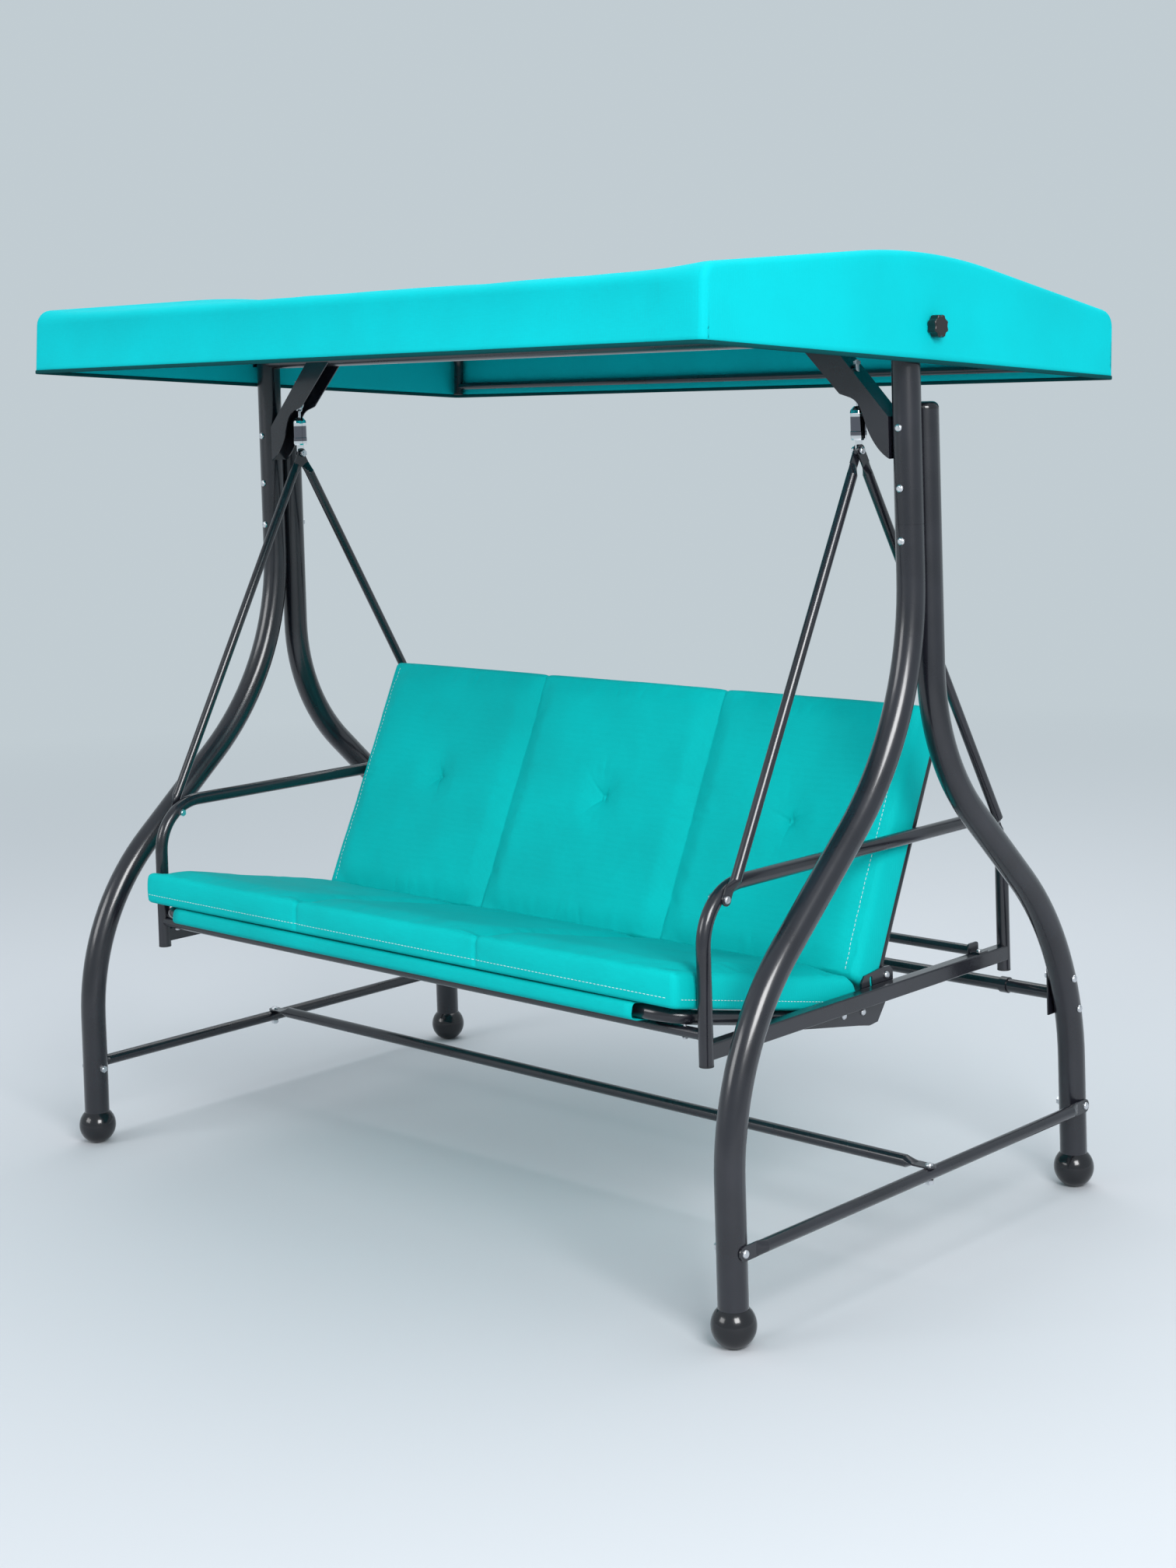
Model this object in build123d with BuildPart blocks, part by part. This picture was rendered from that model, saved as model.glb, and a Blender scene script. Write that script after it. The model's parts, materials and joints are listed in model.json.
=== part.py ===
"""Three-seat canopy swing whose backrest folds flat into a bed.

Millimetres, +Z up, ground at Z = 0, the sitter faces -Y, X runs along the seat.
The side profiles are drawn from the plane between the front and rear posts.
"""
from math import atan, cos, degrees, radians, sin, tan
import os

from build123d import *

os.makedirs("parts", exist_ok=True)

SIDES = (("left", -1), ("right", 1))
POST_PLANE_Y = 9.36           # the post plane stands this far behind the canopy's middle

# ---- stand ----
LEG_X = 850.0                 # side frames, measured to the tube centres
LEG_R = 25.0
LEG_WALL = 1.5
POST_OFFSET = 25.5            # front and rear posts stand back to back
FRONT_FOOT_Y = -545.0
REAR_FOOT_Y = 442.5
FRONT_BEND_Z = (466.0, 928.0)  # where the front leg's three straights would meet
REAR_BEND_Z = (454.0, 857.0)
FRONT_BEND_R = (460.0, 557.0)
REAR_BEND_R = (504.0, 378.0)
FOOT_BALL_R = 37.0
FOOT_BALL_Z = 35.0            # ball centre: the flat pad under it is cut at Z = 0
FOOT_NECK_Z = 62.5            # the leg tube stands on the ball here
SEAM_Z = 1265.0               # lower leg ends, upper post begins
SPIGOT_TOP_Z = 1350.0
POST_TOP_Z = 1625.0
REAR_POST_TOP_Z = 1460.0
POST_BOLT_Z = (1237.0, 1430.0)
SNAP_BUTTON_Z = 1327.0
FOOT_BAR_Z = 154.0
FOOT_BAR_R = 11.0
BRACE_Y = 424.0
BRACE_Z = 362.0
BRACE_R = 12.5
BRACE_BOLTS = ((417.4, 397.0), (432.9, 338.0))
BEAM_Z = 1600.0
PLATE = 3.0                   # flattened tube ends, lugs and brackets
BOLT_R = 4.0
HOLE_R = 4.2

# ---- suspension ----
HANG_X = 748.5
HANG_Y = -28.0
HANG_Z = 1487.0               # swing axis: centre of the eye wire the hook rides on
EYE_WIRE_R = 3.0
EYE_RING_R = 12.0
HOOK_WIRE_R = 2.5
HOOK_RING_R = 5.85
HOOK_ROD_R = 3.0
CAN_R = 14.5
CAN_TOP_Z = 1456.0
BELL_TOP_Z = 1468.0
CAN_FLOOR_Z = 1409.0
APEX_Z = 1391.0
HANGER_R = 9.5

# ---- seat ----
ARM_X = 726.0
ARM_R = 12.5
ARM_FRONT_Y = -450.0
ARM_REAR_Y = 411.0
ARM_TOP_Z = 692.0
ARM_FRONT_FOOT_Z = 406.0
ARM_REAR_FOOT_Z = 397.0
ARM_BEND_R = 95.0
RAIL_Z = 428.0
RAIL_SIZE = (24.0, 28.0)
FRONT_HANGER_BOLT = (-405.7, 671.4)
REAR_HANGER_BOLT = (386.0, 661.0)
CROSS_R = 9.5
FRONT_CROSS_Z = 454.5
FRONT_BOLT_X = 682.0          # where the front cross tube bolts up into the seat frame's corner
REAR_CROSS_Y = 330.0
REAR_CROSS_Z = 444.0
SEAT_SLOPE = 12.15            # degrees, falling to the rear
SEAT_ORIGIN = (-480.0, 485.0)  # centre of the seat frame's front tube
SEAT_FRAME_X = 690.0
SEAT_TUBE_R = 12.5
SEAT_FRAME_DEPTH = 505.0
SLING_HALF_WIDTH = 618.0
SLING_THICK = 1.4
CUSHION_HALF_WIDTH = 700.0
SEAT_CUSHION_TOP = 77.0       # above the seat frame's centre plane

# ---- backrest ----
BACK_LEAN = 25.4              # degrees from upright
BACK_ORIGIN = (-30.0, 467.0)  # lower front edge of the back cushion
BACK_CUSHION_THICK = 72.0
BACK_CUSHION_LENGTH = 501.5
BACK_FRAME_DEPTH = 86.0       # cushion front to frame tube centre
BACK_TUBE_R = 11.0
BACK_FRAME_X = 689.0
BACK_TOP = 483.0
PIVOT_T = 24.2                # recline axis, along the back from its lower edge
RECLINE_PLATE_X = 712.0
BUTTON_T = 261.0
BUTTON_X = 467.0

# ---- canopy ----
CANOPY_TILT = 3.73            # degrees, front edge higher
TILT_AXIS = (4.0, 1600.0)
CANOPY_MID = -12.5            # canopy's middle, forward of its tilt axis
CANOPY_HALF_LENGTH = 890.0
CANOPY_HALF_DEPTH = 588.0
CANOPY_HEM = -62.0
CANOPY_EAVE = 62.0
CANOPY_PITCH = 7.2            # degrees
CANOPY_RIDGE_R = 1500.0
COVER_THICK = 3.0
COVER_ROUNDING = 14.0
BOW_X = 868.0
BOW_R = 11.0
KNOB_R = 20.0


def at(x, y, z):
    """Point given from the post plane."""
    return Vector(x, POST_PLANE_Y + y, z)


def side_plane(x):
    """Side profile plane at X = x: local x runs to the rear, local y runs up."""
    return Plane(origin=at(x, 0, 0), x_dir=(0, 1, 0), z_dir=(1, 0, 0))


def save(part, name):
    """Label one finished piece and write its file."""
    part.label = name
    export_step(part, f"parts/{name}.step")


def rod(start, end, radius, wall=0.0):
    """Straight round bar, or tube when a wall is given, between two points."""
    axis = Vector(*end) - Vector(*start)
    with BuildPart() as bar:
        with BuildSketch(Plane(origin=start, z_dir=axis)):
            Circle(radius)
            if wall:
                Circle(radius - wall, mode=Mode.SUBTRACT)
        extrude(amount=axis.length)
    return bar.part


def bent_tube(plane, points, bends, radius, wall=0.0):
    """Tube along straights joined by tangent arcs, drawn on a plane."""
    with BuildPart() as tube:
        with BuildLine(plane) as path:
            FilletPolyline(*points, radius=bends)
        with BuildSketch(Plane(origin=path.line @ 0, z_dir=path.line % 0)):
            Circle(radius)
            if wall:
                Circle(radius - wall, mode=Mode.SUBTRACT)
        sweep(path=path.line)
    return tube.part


def bolt(seat, direction, grip, shank=BOLT_R, nut=True):
    """Dome-headed bolt: seat is the point under its head, grip the clamped length."""
    head_r = shank * 1.75
    head_h = shank * 1.05
    axis = Vector(*direction).normalized()
    with BuildPart() as fastener:
        with BuildSketch(Plane(origin=seat, z_dir=-axis)):
            Circle(head_r)
        extrude(amount=head_h)
        top = fastener.faces().sort_by(Axis(seat, -axis))[-1]
        fillet(top.edges(), radius=head_h * 0.85)
        with BuildSketch(Plane(origin=seat, z_dir=axis)):
            Circle(shank)
        extrude(amount=grip + (shank * 2 if nut else 0))
        if nut:
            with BuildSketch(Plane(origin=Vector(*seat) + axis * grip, z_dir=axis)):
                RegularPolygon(shank * 1.85, 6)
            extrude(amount=shank * 1.6)
    return fastener.part


def along_x(point, radius, length):
    """Cutter: a cylinder along X, centred on a point."""
    half = Vector(length / 2, 0, 0)
    return rod(point - half, point + half, radius)


def along_y(point, radius, length):
    """Cutter: a cylinder along Y, centred on a point."""
    half = Vector(0, length / 2, 0)
    return rod(point - half, point + half, radius)


def domed_rod(start, end, radius, rounding):
    """Round bar with the rim of its far end rounded off."""
    axis = Vector(*end) - Vector(*start)
    with BuildPart() as bar:
        with BuildSketch(Plane(origin=start, z_dir=axis)):
            Circle(radius)
        extrude(amount=axis.length)
        far_face = bar.faces().sort_by(Axis(start, axis))[-1]
        fillet(far_face.edges(), radius=rounding)
    return bar.part


# =============================== stand ===============================

def leg_path(foot_y, post_y, bend_z, top_z):
    """Foot, two bend corners and top of one S-shaped leg."""
    return (foot_y, FOOT_NECK_Z), (foot_y, bend_z[0]), (post_y, bend_z[1]), (post_y, top_z)


for side, sign in SIDES:
    leg_x = sign * LEG_X
    foot_bar_bolt_holes = along_x(at(leg_x, FRONT_FOOT_Y, FOOT_BAR_Z), HOLE_R, 60)

    with BuildPart() as front_leg:
        add(bent_tube(side_plane(leg_x), leg_path(FRONT_FOOT_Y, -POST_OFFSET, FRONT_BEND_Z, SEAM_Z),
                      FRONT_BEND_R, LEG_R, LEG_WALL))
        # swaged spigot that the upper post slides over
        add(rod(at(leg_x, -POST_OFFSET, SEAM_Z - 12), at(leg_x, -POST_OFFSET, SPIGOT_TOP_Z),
                LEG_R - LEG_WALL, LEG_WALL))
        add(foot_bar_bolt_holes, mode=Mode.SUBTRACT)
        add(along_y(at(leg_x, -POST_OFFSET, POST_BOLT_Z[0]), HOLE_R, 60), mode=Mode.SUBTRACT)
        add(along_y(at(leg_x, -POST_OFFSET - 20, SNAP_BUTTON_Z), HOLE_R, 20), mode=Mode.SUBTRACT)
    save(front_leg.part, f"front_leg_{side}")

    with BuildPart() as rear_leg:
        add(bent_tube(side_plane(leg_x), leg_path(REAR_FOOT_Y, POST_OFFSET, REAR_BEND_Z, REAR_POST_TOP_Z),
                      REAR_BEND_R, LEG_R, LEG_WALL))
        add(along_x(at(leg_x, REAR_FOOT_Y, FOOT_BAR_Z), HOLE_R, 60), mode=Mode.SUBTRACT)
        for y, z in BRACE_BOLTS:
            add(along_x(at(leg_x, y, z), HOLE_R, 60), mode=Mode.SUBTRACT)
        for z in POST_BOLT_Z:
            add(along_y(at(leg_x, POST_OFFSET, z), HOLE_R, 60), mode=Mode.SUBTRACT)
    save(rear_leg.part, f"rear_leg_{side}")

    with BuildPart() as upper_post:
        add(rod(at(leg_x, -POST_OFFSET, SEAM_Z + 0.5), at(leg_x, -POST_OFFSET, POST_TOP_Z), LEG_R, LEG_WALL))
        add(along_y(at(leg_x, -POST_OFFSET, POST_BOLT_Z[1]), HOLE_R, 60), mode=Mode.SUBTRACT)
        add(along_y(at(leg_x, -POST_OFFSET - 20, SNAP_BUTTON_Z), HOLE_R, 20), mode=Mode.SUBTRACT)
        add(along_x(at(leg_x, -POST_OFFSET, BEAM_Z), HOLE_R, 60), mode=Mode.SUBTRACT)
    save(upper_post.part, f"upper_post_{side}")

    for row, foot_y in (("front", FRONT_FOOT_Y), ("rear", REAR_FOOT_Y)):
        with BuildPart() as foot:
            with Locations(at(leg_x, foot_y, FOOT_BALL_Z)):
                Sphere(FOOT_BALL_R)
            split(bisect_by=Plane.XY, keep=Keep.TOP)
            split(bisect_by=Plane.XY.offset(FOOT_NECK_Z), keep=Keep.BOTTOM)
            with Locations(at(leg_x, foot_y, FOOT_NECK_Z + 15)):
                Cylinder(LEG_R - LEG_WALL, 30)
        save(foot.part, f"foot_{row}_{side}")

    # the bar's tube runs beside the legs, its flattened ends lie against them
    bar_x = sign * (LEG_X + LEG_R + PLATE / 2)
    with BuildPart() as foot_bar:
        add(rod(at(bar_x, FRONT_FOOT_Y + 48, FOOT_BAR_Z), at(bar_x, REAR_FOOT_Y - 48, FOOT_BAR_Z), FOOT_BAR_R))
        for end_y, inward in ((FRONT_FOOT_Y, 1), (REAR_FOOT_Y, -1)):
            with BuildSketch(Plane(origin=at(bar_x, end_y + inward * 48, FOOT_BAR_Z), x_dir=(0, 0, 1),
                                   z_dir=(0, -inward, 0))):
                Circle(FOOT_BAR_R)
            with BuildSketch(Plane(origin=at(bar_x, end_y + inward * 26, FOOT_BAR_Z), x_dir=(0, 0, 1),
                                   z_dir=(0, -inward, 0))):
                Ellipse(13, PLATE / 2)
            loft()
            with BuildSketch(side_plane(bar_x)):
                with Locations((end_y, FOOT_BAR_Z)):
                    Circle(12)
                with Locations((end_y + inward * 14, FOOT_BAR_Z)):
                    Rectangle(28, 24)
            extrude(amount=PLATE / 2, both=True)
            add(along_x(at(bar_x, end_y, FOOT_BAR_Z), HOLE_R, 10), mode=Mode.SUBTRACT)
        middle_y = (FRONT_FOOT_Y + REAR_FOOT_Y) / 2
        with Locations(at(bar_x, middle_y, FOOT_BAR_Z)):
            Cylinder(HOLE_R, 40, mode=Mode.SUBTRACT)
    save(foot_bar.part, f"foot_bar_{side}")

    # inverted channel from the post up to the crossbeam, open underneath
    with BuildPart() as hanger_bracket:
        with BuildSketch(Plane(origin=at(0, -POST_OFFSET, 0), x_dir=(sign, 0, 0), z_dir=(0, -sign, 0))) as face:
            with BuildLine():
                Polyline((742, 1484), (722, 1490), (612.6, BEAM_Z), (685.2, BEAM_Z), (825, 1449.2), (825, 1377))
                Spline((825, 1377), (796, 1402), (777, 1436), (764, 1468), (742, 1484))
            make_face()
        extrude(amount=20, both=True)
        with BuildSketch(Plane(origin=at(0, -POST_OFFSET, 0), x_dir=(sign, 0, 0), z_dir=(0, -sign, 0))):
            with BuildLine():
                Polyline((600, 1600), (681, 1600), (824, 1445.5), (824, 1360), (600, 1360), (600, 1600))
            make_face()
        extrude(amount=17.5, both=True, mode=Mode.SUBTRACT)
        add(along_x(at(sign * 650, -POST_OFFSET, BEAM_Z), LEG_R, 400), mode=Mode.SUBTRACT)
        with Locations(at(leg_x, -POST_OFFSET, 1400)):
            Cylinder(LEG_R, 200, mode=Mode.SUBTRACT)
        with Locations(at(sign * HANG_X, HANG_Y, 1530)):
            Cylinder(HOLE_R, 60, mode=Mode.SUBTRACT)
    save(hanger_bracket.part, f"hanger_bracket_{side}")

with BuildPart() as foot_cross_bar:
    cross_y = (FRONT_FOOT_Y + REAR_FOOT_Y) / 2
    cross_z = FOOT_BAR_Z + FOOT_BAR_R + PLATE / 2
    cross_end = LEG_X + LEG_R + PLATE / 2
    add(rod(at(-cross_end + 48, cross_y, cross_z), at(cross_end - 48, cross_y, cross_z), FOOT_BAR_R))
    for side, sign in SIDES:
        with BuildSketch(Plane(origin=at(sign * (cross_end - 48), cross_y, cross_z), x_dir=(0, 1, 0),
                               z_dir=(sign, 0, 0))):
            Circle(FOOT_BAR_R)
        with BuildSketch(Plane(origin=at(sign * (cross_end - 26), cross_y, cross_z), x_dir=(0, 1, 0),
                               z_dir=(sign, 0, 0))):
            Ellipse(13, PLATE / 2)
        loft()
        with BuildSketch(Plane(origin=at(sign * cross_end, cross_y, cross_z))):
            Circle(12)
            with Locations((-sign * 14, 0)):
                Rectangle(28, 24)
        extrude(amount=PLATE / 2, both=True)
        with Locations(at(sign * cross_end, cross_y, cross_z)):
            Cylinder(HOLE_R, 10, mode=Mode.SUBTRACT)
save(foot_cross_bar.part, "foot_cross_bar")

with BuildPart() as rear_brace:
    inner_x = LEG_X - LEG_R
    add(rod(at(-inner_x + 2, BRACE_Y, BRACE_Z), at(inner_x - 2, BRACE_Y, BRACE_Z), BRACE_R, 1.5))
    for side, sign in SIDES:
        # end plate against the leg, and the collar that joins the brace's stub to its long tube
        with BuildSketch(side_plane(sign * (inner_x - PLATE / 2))):
            with Locations(((BRACE_BOLTS[0][0] + BRACE_BOLTS[1][0]) / 2, (397.0 + 338.0) / 2)):
                Rectangle(36, 88)
        extrude(amount=PLATE / 2, both=True)
        add(rod(at(sign * 712, BRACE_Y, BRACE_Z), at(sign * 728, BRACE_Y, BRACE_Z), BRACE_R + 2.5))
        add(along_x(at(sign * 720, BRACE_Y, BRACE_Z), BRACE_R - 1.5, 20), mode=Mode.SUBTRACT)
        for y, z in BRACE_BOLTS:
            add(along_x(at(sign * inner_x, y, z), HOLE_R, 10), mode=Mode.SUBTRACT)
save(rear_brace.part, "rear_brace")

with BuildPart() as top_crossbeam:
    add(rod(at(-LEG_X, -POST_OFFSET, BEAM_Z), at(LEG_X, -POST_OFFSET, BEAM_Z), LEG_R, LEG_WALL))
    for side, sign in SIDES:
        with Locations(at(sign * LEG_X, -POST_OFFSET, BEAM_Z)):
            Cylinder(LEG_R, 80, mode=Mode.SUBTRACT)
        # threaded insert that the beam bolt pulls up against
        add(rod(at(sign * 795, -POST_OFFSET, BEAM_Z), at(sign * 815, -POST_OFFSET, BEAM_Z), LEG_R - 1))
        add(along_x(at(sign * 805, -POST_OFFSET, BEAM_Z), BOLT_R, 40), mode=Mode.SUBTRACT)
save(top_crossbeam.part, "top_crossbeam")

with BuildPart() as eye_bolts:
    for side, sign in SIDES:
        ring_z = HANG_Z + EYE_RING_R
        with Locations(Location(at(sign * HANG_X, HANG_Y, ring_z), (90, 0, 0))):
            Torus(EYE_RING_R, EYE_WIRE_R)
        add(rod(at(sign * HANG_X, HANG_Y, ring_z + EYE_RING_R - 1), at(sign * HANG_X, HANG_Y, 1548), BOLT_R))
        with BuildSketch(Plane(origin=at(sign * HANG_X, HANG_Y, 1540))):
            RegularPolygon(7, 6)
        extrude(amount=6)
save(eye_bolts.part, "eye_bolts")

with BuildPart() as canopy_lugs:
    for side, sign in SIDES:
        lug_x = sign * (LEG_X + LEG_R + PLATE / 2)
        with BuildSketch(side_plane(lug_x)):
            with BuildLine():
                Polyline((-46, 1580), (6, 1580), (20, 1590), (20, 1610), (6, 1620), (-46, 1620), (-46, 1580))
            make_face()
        extrude(amount=PLATE / 2, both=True)
        # weld nut behind the knob's stud
        with BuildSketch(side_plane(sign * (LEG_X + LEG_R - 3))):
            with Locations(TILT_AXIS):
                RegularPolygon(6.5, 6, rotation=30)
        extrude(amount=3, both=True)
        add(along_x(at(lug_x, *TILT_AXIS), BOLT_R + 0.06, 30), mode=Mode.SUBTRACT)
        add(along_x(at(lug_x, -POST_OFFSET, BEAM_Z), HOLE_R, 10), mode=Mode.SUBTRACT)
save(canopy_lugs.part, "canopy_lugs")

with BuildPart() as post_caps:
    for side, sign in SIDES:
        for y, top in ((-POST_OFFSET, POST_TOP_Z), (POST_OFFSET, REAR_POST_TOP_Z)):
            dome = 5 if y < 0 else 13
            add(domed_rod(at(sign * LEG_X, y, top), at(sign * LEG_X, y, top + dome), LEG_R, dome * 0.9))
            add(rod(at(sign * LEG_X, y, top - 18), at(sign * LEG_X, y, top + 1), LEG_R - LEG_WALL))
            if y < 0:
                add(along_x(at(sign * LEG_X, y, BEAM_Z), HOLE_R, 60), mode=Mode.SUBTRACT)
save(post_caps.part, "post_caps")

with BuildPart() as post_bolts:
    for side, sign in SIDES:
        for z in POST_BOLT_Z:
            add(bolt(at(sign * LEG_X, -POST_OFFSET - LEG_R, z), (0, 1, 0), 2 * (POST_OFFSET + LEG_R)))
        add(bolt(at(sign * LEG_X, -POST_OFFSET - LEG_R - 0.2, SNAP_BUTTON_Z), (0, 1, 0), 12, nut=False))
        add(bolt(at(sign * (LEG_X + LEG_R + PLATE), -POST_OFFSET, BEAM_Z), (-sign, 0, 0), 90, nut=False))
save(post_bolts.part, "post_bolts")

with BuildPart() as leg_bolts:
    for side, sign in SIDES:
        outer = LEG_X + LEG_R
        for y in (FRONT_FOOT_Y, REAR_FOOT_Y):
            add(bolt(at(sign * (outer + PLATE), y, FOOT_BAR_Z), (-sign, 0, 0), 2 * LEG_R + PLATE))
        for y, z in BRACE_BOLTS:
            add(bolt(at(sign * outer, y, z), (-sign, 0, 0), 2 * LEG_R + PLATE))
        bar_x = sign * (outer + PLATE / 2)
        add(bolt(at(bar_x, (FRONT_FOOT_Y + REAR_FOOT_Y) / 2, FOOT_BAR_Z + FOOT_BAR_R + PLATE), (0, 0, -1),
                 2 * FOOT_BAR_R + PLATE))
save(leg_bolts.part, "leg_bolts")


# ============================ suspension =============================

for side, sign in SIDES:
    hang_x = sign * HANG_X
    with BuildPart() as hook_rod:
        # hook over the eye wire, then a straight rod down into the spring can
        with BuildLine(side_plane(hang_x)) as wire:
            CenterArc((HANG_Y, HANG_Z), HOOK_RING_R, -90, 300)
        with BuildSketch(Plane(origin=wire.line @ 0, z_dir=wire.line % 0)):
            Circle(HOOK_WIRE_R)
        sweep(path=wire.line)
        add(rod(at(hang_x, HANG_Y, HANG_Z - HOOK_RING_R + 1), at(hang_x, HANG_Y, 1416), HOOK_ROD_R))
        with BuildSketch(Plane(origin=at(hang_x, HANG_Y, 1422))):
            Circle(12)
        extrude(amount=3)
    save(hook_rod.part, f"hook_rod_{side}")

    with BuildPart() as coil_spring:
        coil_bottom = 1426.2
        coil_height = 26.6
        with BuildLine(Plane(origin=at(hang_x, HANG_Y, coil_bottom))) as coil:
            Helix(pitch=coil_height / 5, height=coil_height, radius=8)
        with BuildSketch(Plane(origin=coil.line @ 0, z_dir=coil.line % 0)):
            Circle(1.1)
        sweep(path=coil.line, is_frenet=True)
    save(coil_spring.part, f"coil_spring_{side}")

    can_plane = Plane(origin=at(hang_x, HANG_Y, 0), x_dir=(0, 1, 0), z_dir=(1, 0, 0))
    with BuildPart() as spring_can:
        with BuildSketch(can_plane):
            with BuildLine():
                # half section: lower cap, barrel and bell, hollow inside
                Polyline((0, CAN_FLOOR_Z), (13, CAN_FLOOR_Z), (CAN_R, CAN_FLOOR_Z + 3), (CAN_R, 1424),
                         (14, 1425), (14, 1455), (CAN_R, CAN_TOP_Z), (CAN_R - 1, 1461), (9, 1466),
                         (7, BELL_TOP_Z), (3.08, BELL_TOP_Z), (3.08, 1454.5), (12.6, 1454.5),
                         (12.6, 1412), (0, 1412), (0, CAN_FLOOR_Z))
            make_face()
        revolve(axis=Axis(at(hang_x, HANG_Y, 0), (0, 0, 1)))
        # tongue under the lower cap that the hanger arms bolt to
        with BuildSketch(side_plane(hang_x)):
            with Locations((HANG_Y, APEX_Z)):
                Circle(9)
            with Locations((HANG_Y, (APEX_Z + CAN_FLOOR_Z) / 2 + 0.5)):
                Rectangle(18, CAN_FLOOR_Z - APEX_Z + 1)
        extrude(amount=PLATE / 2, both=True)
        add(along_x(at(hang_x, HANG_Y, APEX_Z), HOLE_R, 10), mode=Mode.SUBTRACT)
    save(spring_can.part, f"spring_can_{side}")


# =============================== seat ================================

def hanger_arm(sign, foot, top_shift, foot_shift):
    """Tube from the spring can to the armrest, both ends flattened and bolted."""
    top = Vector(HANG_Y, APEX_Z)
    end = Vector(*foot)
    run = end - top
    unit = run.normalized()
    x_mid = sign * HANG_X

    def spot(distance, shift=0.0):
        return at(x_mid + sign * shift, top.X + unit.X * distance, top.Y + unit.Y * distance)

    down = Vector(0, unit.X, unit.Y)
    tube_from, tube_to = 46.0, run.length - 34.0
    with BuildPart() as arm:
        add(rod(spot(tube_from), spot(tube_to), HANGER_R, 1.2))
        for start, flat, shift in ((tube_from, tube_from - 20, top_shift), (tube_to, tube_to + 18, foot_shift)):
            heading = down if flat > start else -down
            with BuildSketch(Plane(origin=spot(start), x_dir=(1, 0, 0), z_dir=heading)):
                Circle(HANGER_R)
            with BuildSketch(Plane(origin=spot(flat, shift), x_dir=(1, 0, 0), z_dir=heading)):
                Ellipse(PLATE / 2, 11)
            loft()
        for flat, hole, shift in ((tube_from - 22, 0, top_shift), (tube_to + 20, run.length, foot_shift)):
            length = abs(flat - hole) + 4
            middle = (flat + hole) / 2 + (2 if hole == 0 else -2)
            with BuildSketch(Plane(origin=spot(middle, shift), x_dir=down, z_dir=(1, 0, 0))):
                Rectangle(length, 20)
            extrude(amount=PLATE / 2, both=True)
            with BuildSketch(Plane(origin=spot(hole, shift), x_dir=down, z_dir=(1, 0, 0))):
                Circle(11)
            extrude(amount=PLATE / 2, both=True)
            add(along_x(spot(hole, shift), HOLE_R, 12), mode=Mode.SUBTRACT)
    return arm.part


for side, sign in SIDES:
    # the flattened tops stack on either side of the spring can's tongue
    save(hanger_arm(sign, FRONT_HANGER_BOLT, -PLATE - 0.3, -8.0), f"hanger_arm_front_{side}")
    save(hanger_arm(sign, REAR_HANGER_BOLT, PLATE + 0.3, -8.0), f"hanger_arm_rear_{side}")

    arm_x = sign * ARM_X
    with BuildPart() as arm_frame:
        add(bent_tube(side_plane(arm_x), ((ARM_FRONT_Y, ARM_FRONT_FOOT_Z), (ARM_FRONT_Y, ARM_TOP_Z),
                                          (ARM_REAR_Y, ARM_TOP_Z), (ARM_REAR_Y, ARM_REAR_FOOT_Z)),
                      (ARM_BEND_R, ARM_BEND_R), ARM_R))
        with BuildSketch(Plane(origin=at(arm_x, ARM_FRONT_Y, RAIL_Z), x_dir=(1, 0, 0), z_dir=(0, 1, 0))):
            RectangleRounded(*RAIL_SIZE, radius=3)
        extrude(amount=ARM_REAR_Y - ARM_FRONT_Y)
        # the tubes and the rail are hollow
        add(bent_tube(side_plane(arm_x), ((ARM_FRONT_Y, ARM_FRONT_FOOT_Z - 1), (ARM_FRONT_Y, ARM_TOP_Z),
                                          (ARM_REAR_Y, ARM_TOP_Z), (ARM_REAR_Y, ARM_REAR_FOOT_Z - 1)),
                      (ARM_BEND_R, ARM_BEND_R), ARM_R - 1.5), mode=Mode.SUBTRACT)
        with BuildSketch(Plane(origin=at(arm_x, ARM_FRONT_Y + 20, RAIL_Z), x_dir=(1, 0, 0), z_dir=(0, 1, 0))):
            RectangleRounded(RAIL_SIZE[0] - 3, RAIL_SIZE[1] - 3, radius=2)
        extrude(amount=ARM_REAR_Y - ARM_FRONT_Y - 40, mode=Mode.SUBTRACT)
        for y, z in (FRONT_HANGER_BOLT, REAR_HANGER_BOLT):
            add(along_x(at(arm_x, y, z), HOLE_R, 40), mode=Mode.SUBTRACT)
        with Locations(at(arm_x, REAR_CROSS_Y, RAIL_Z + RAIL_SIZE[1] / 2)):
            Cylinder(3.2, 12, mode=Mode.SUBTRACT)
    save(arm_frame.part, f"arm_frame_{side}")

with BuildPart() as arm_plugs:
    for side, sign in SIDES:
        for y, foot_z in ((ARM_FRONT_Y, ARM_FRONT_FOOT_Z), (ARM_REAR_Y, ARM_REAR_FOOT_Z)):
            add(rod(at(sign * ARM_X, y, foot_z - 3), at(sign * ARM_X, y, foot_z), ARM_R))
            add(rod(at(sign * ARM_X, y, foot_z - 1), at(sign * ARM_X, y, foot_z + 12), ARM_R - 1.5))
save(arm_plugs.part, "arm_plugs")

with BuildPart() as front_cross_tube:
    add(rod(at(-ARM_X, ARM_FRONT_Y, FRONT_CROSS_Z), at(ARM_X, ARM_FRONT_Y, FRONT_CROSS_Z), CROSS_R, 1.2))
    for side, sign in SIDES:
        with Locations(at(sign * ARM_X, ARM_FRONT_Y, FRONT_CROSS_Z)):
            Cylinder(ARM_R, 60, mode=Mode.SUBTRACT)
        with Locations(at(sign * FRONT_BOLT_X, ARM_FRONT_Y, FRONT_CROSS_Z)):
            Cylinder(3.2, 40, mode=Mode.SUBTRACT)
save(front_cross_tube.part, "front_cross_tube")

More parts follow.
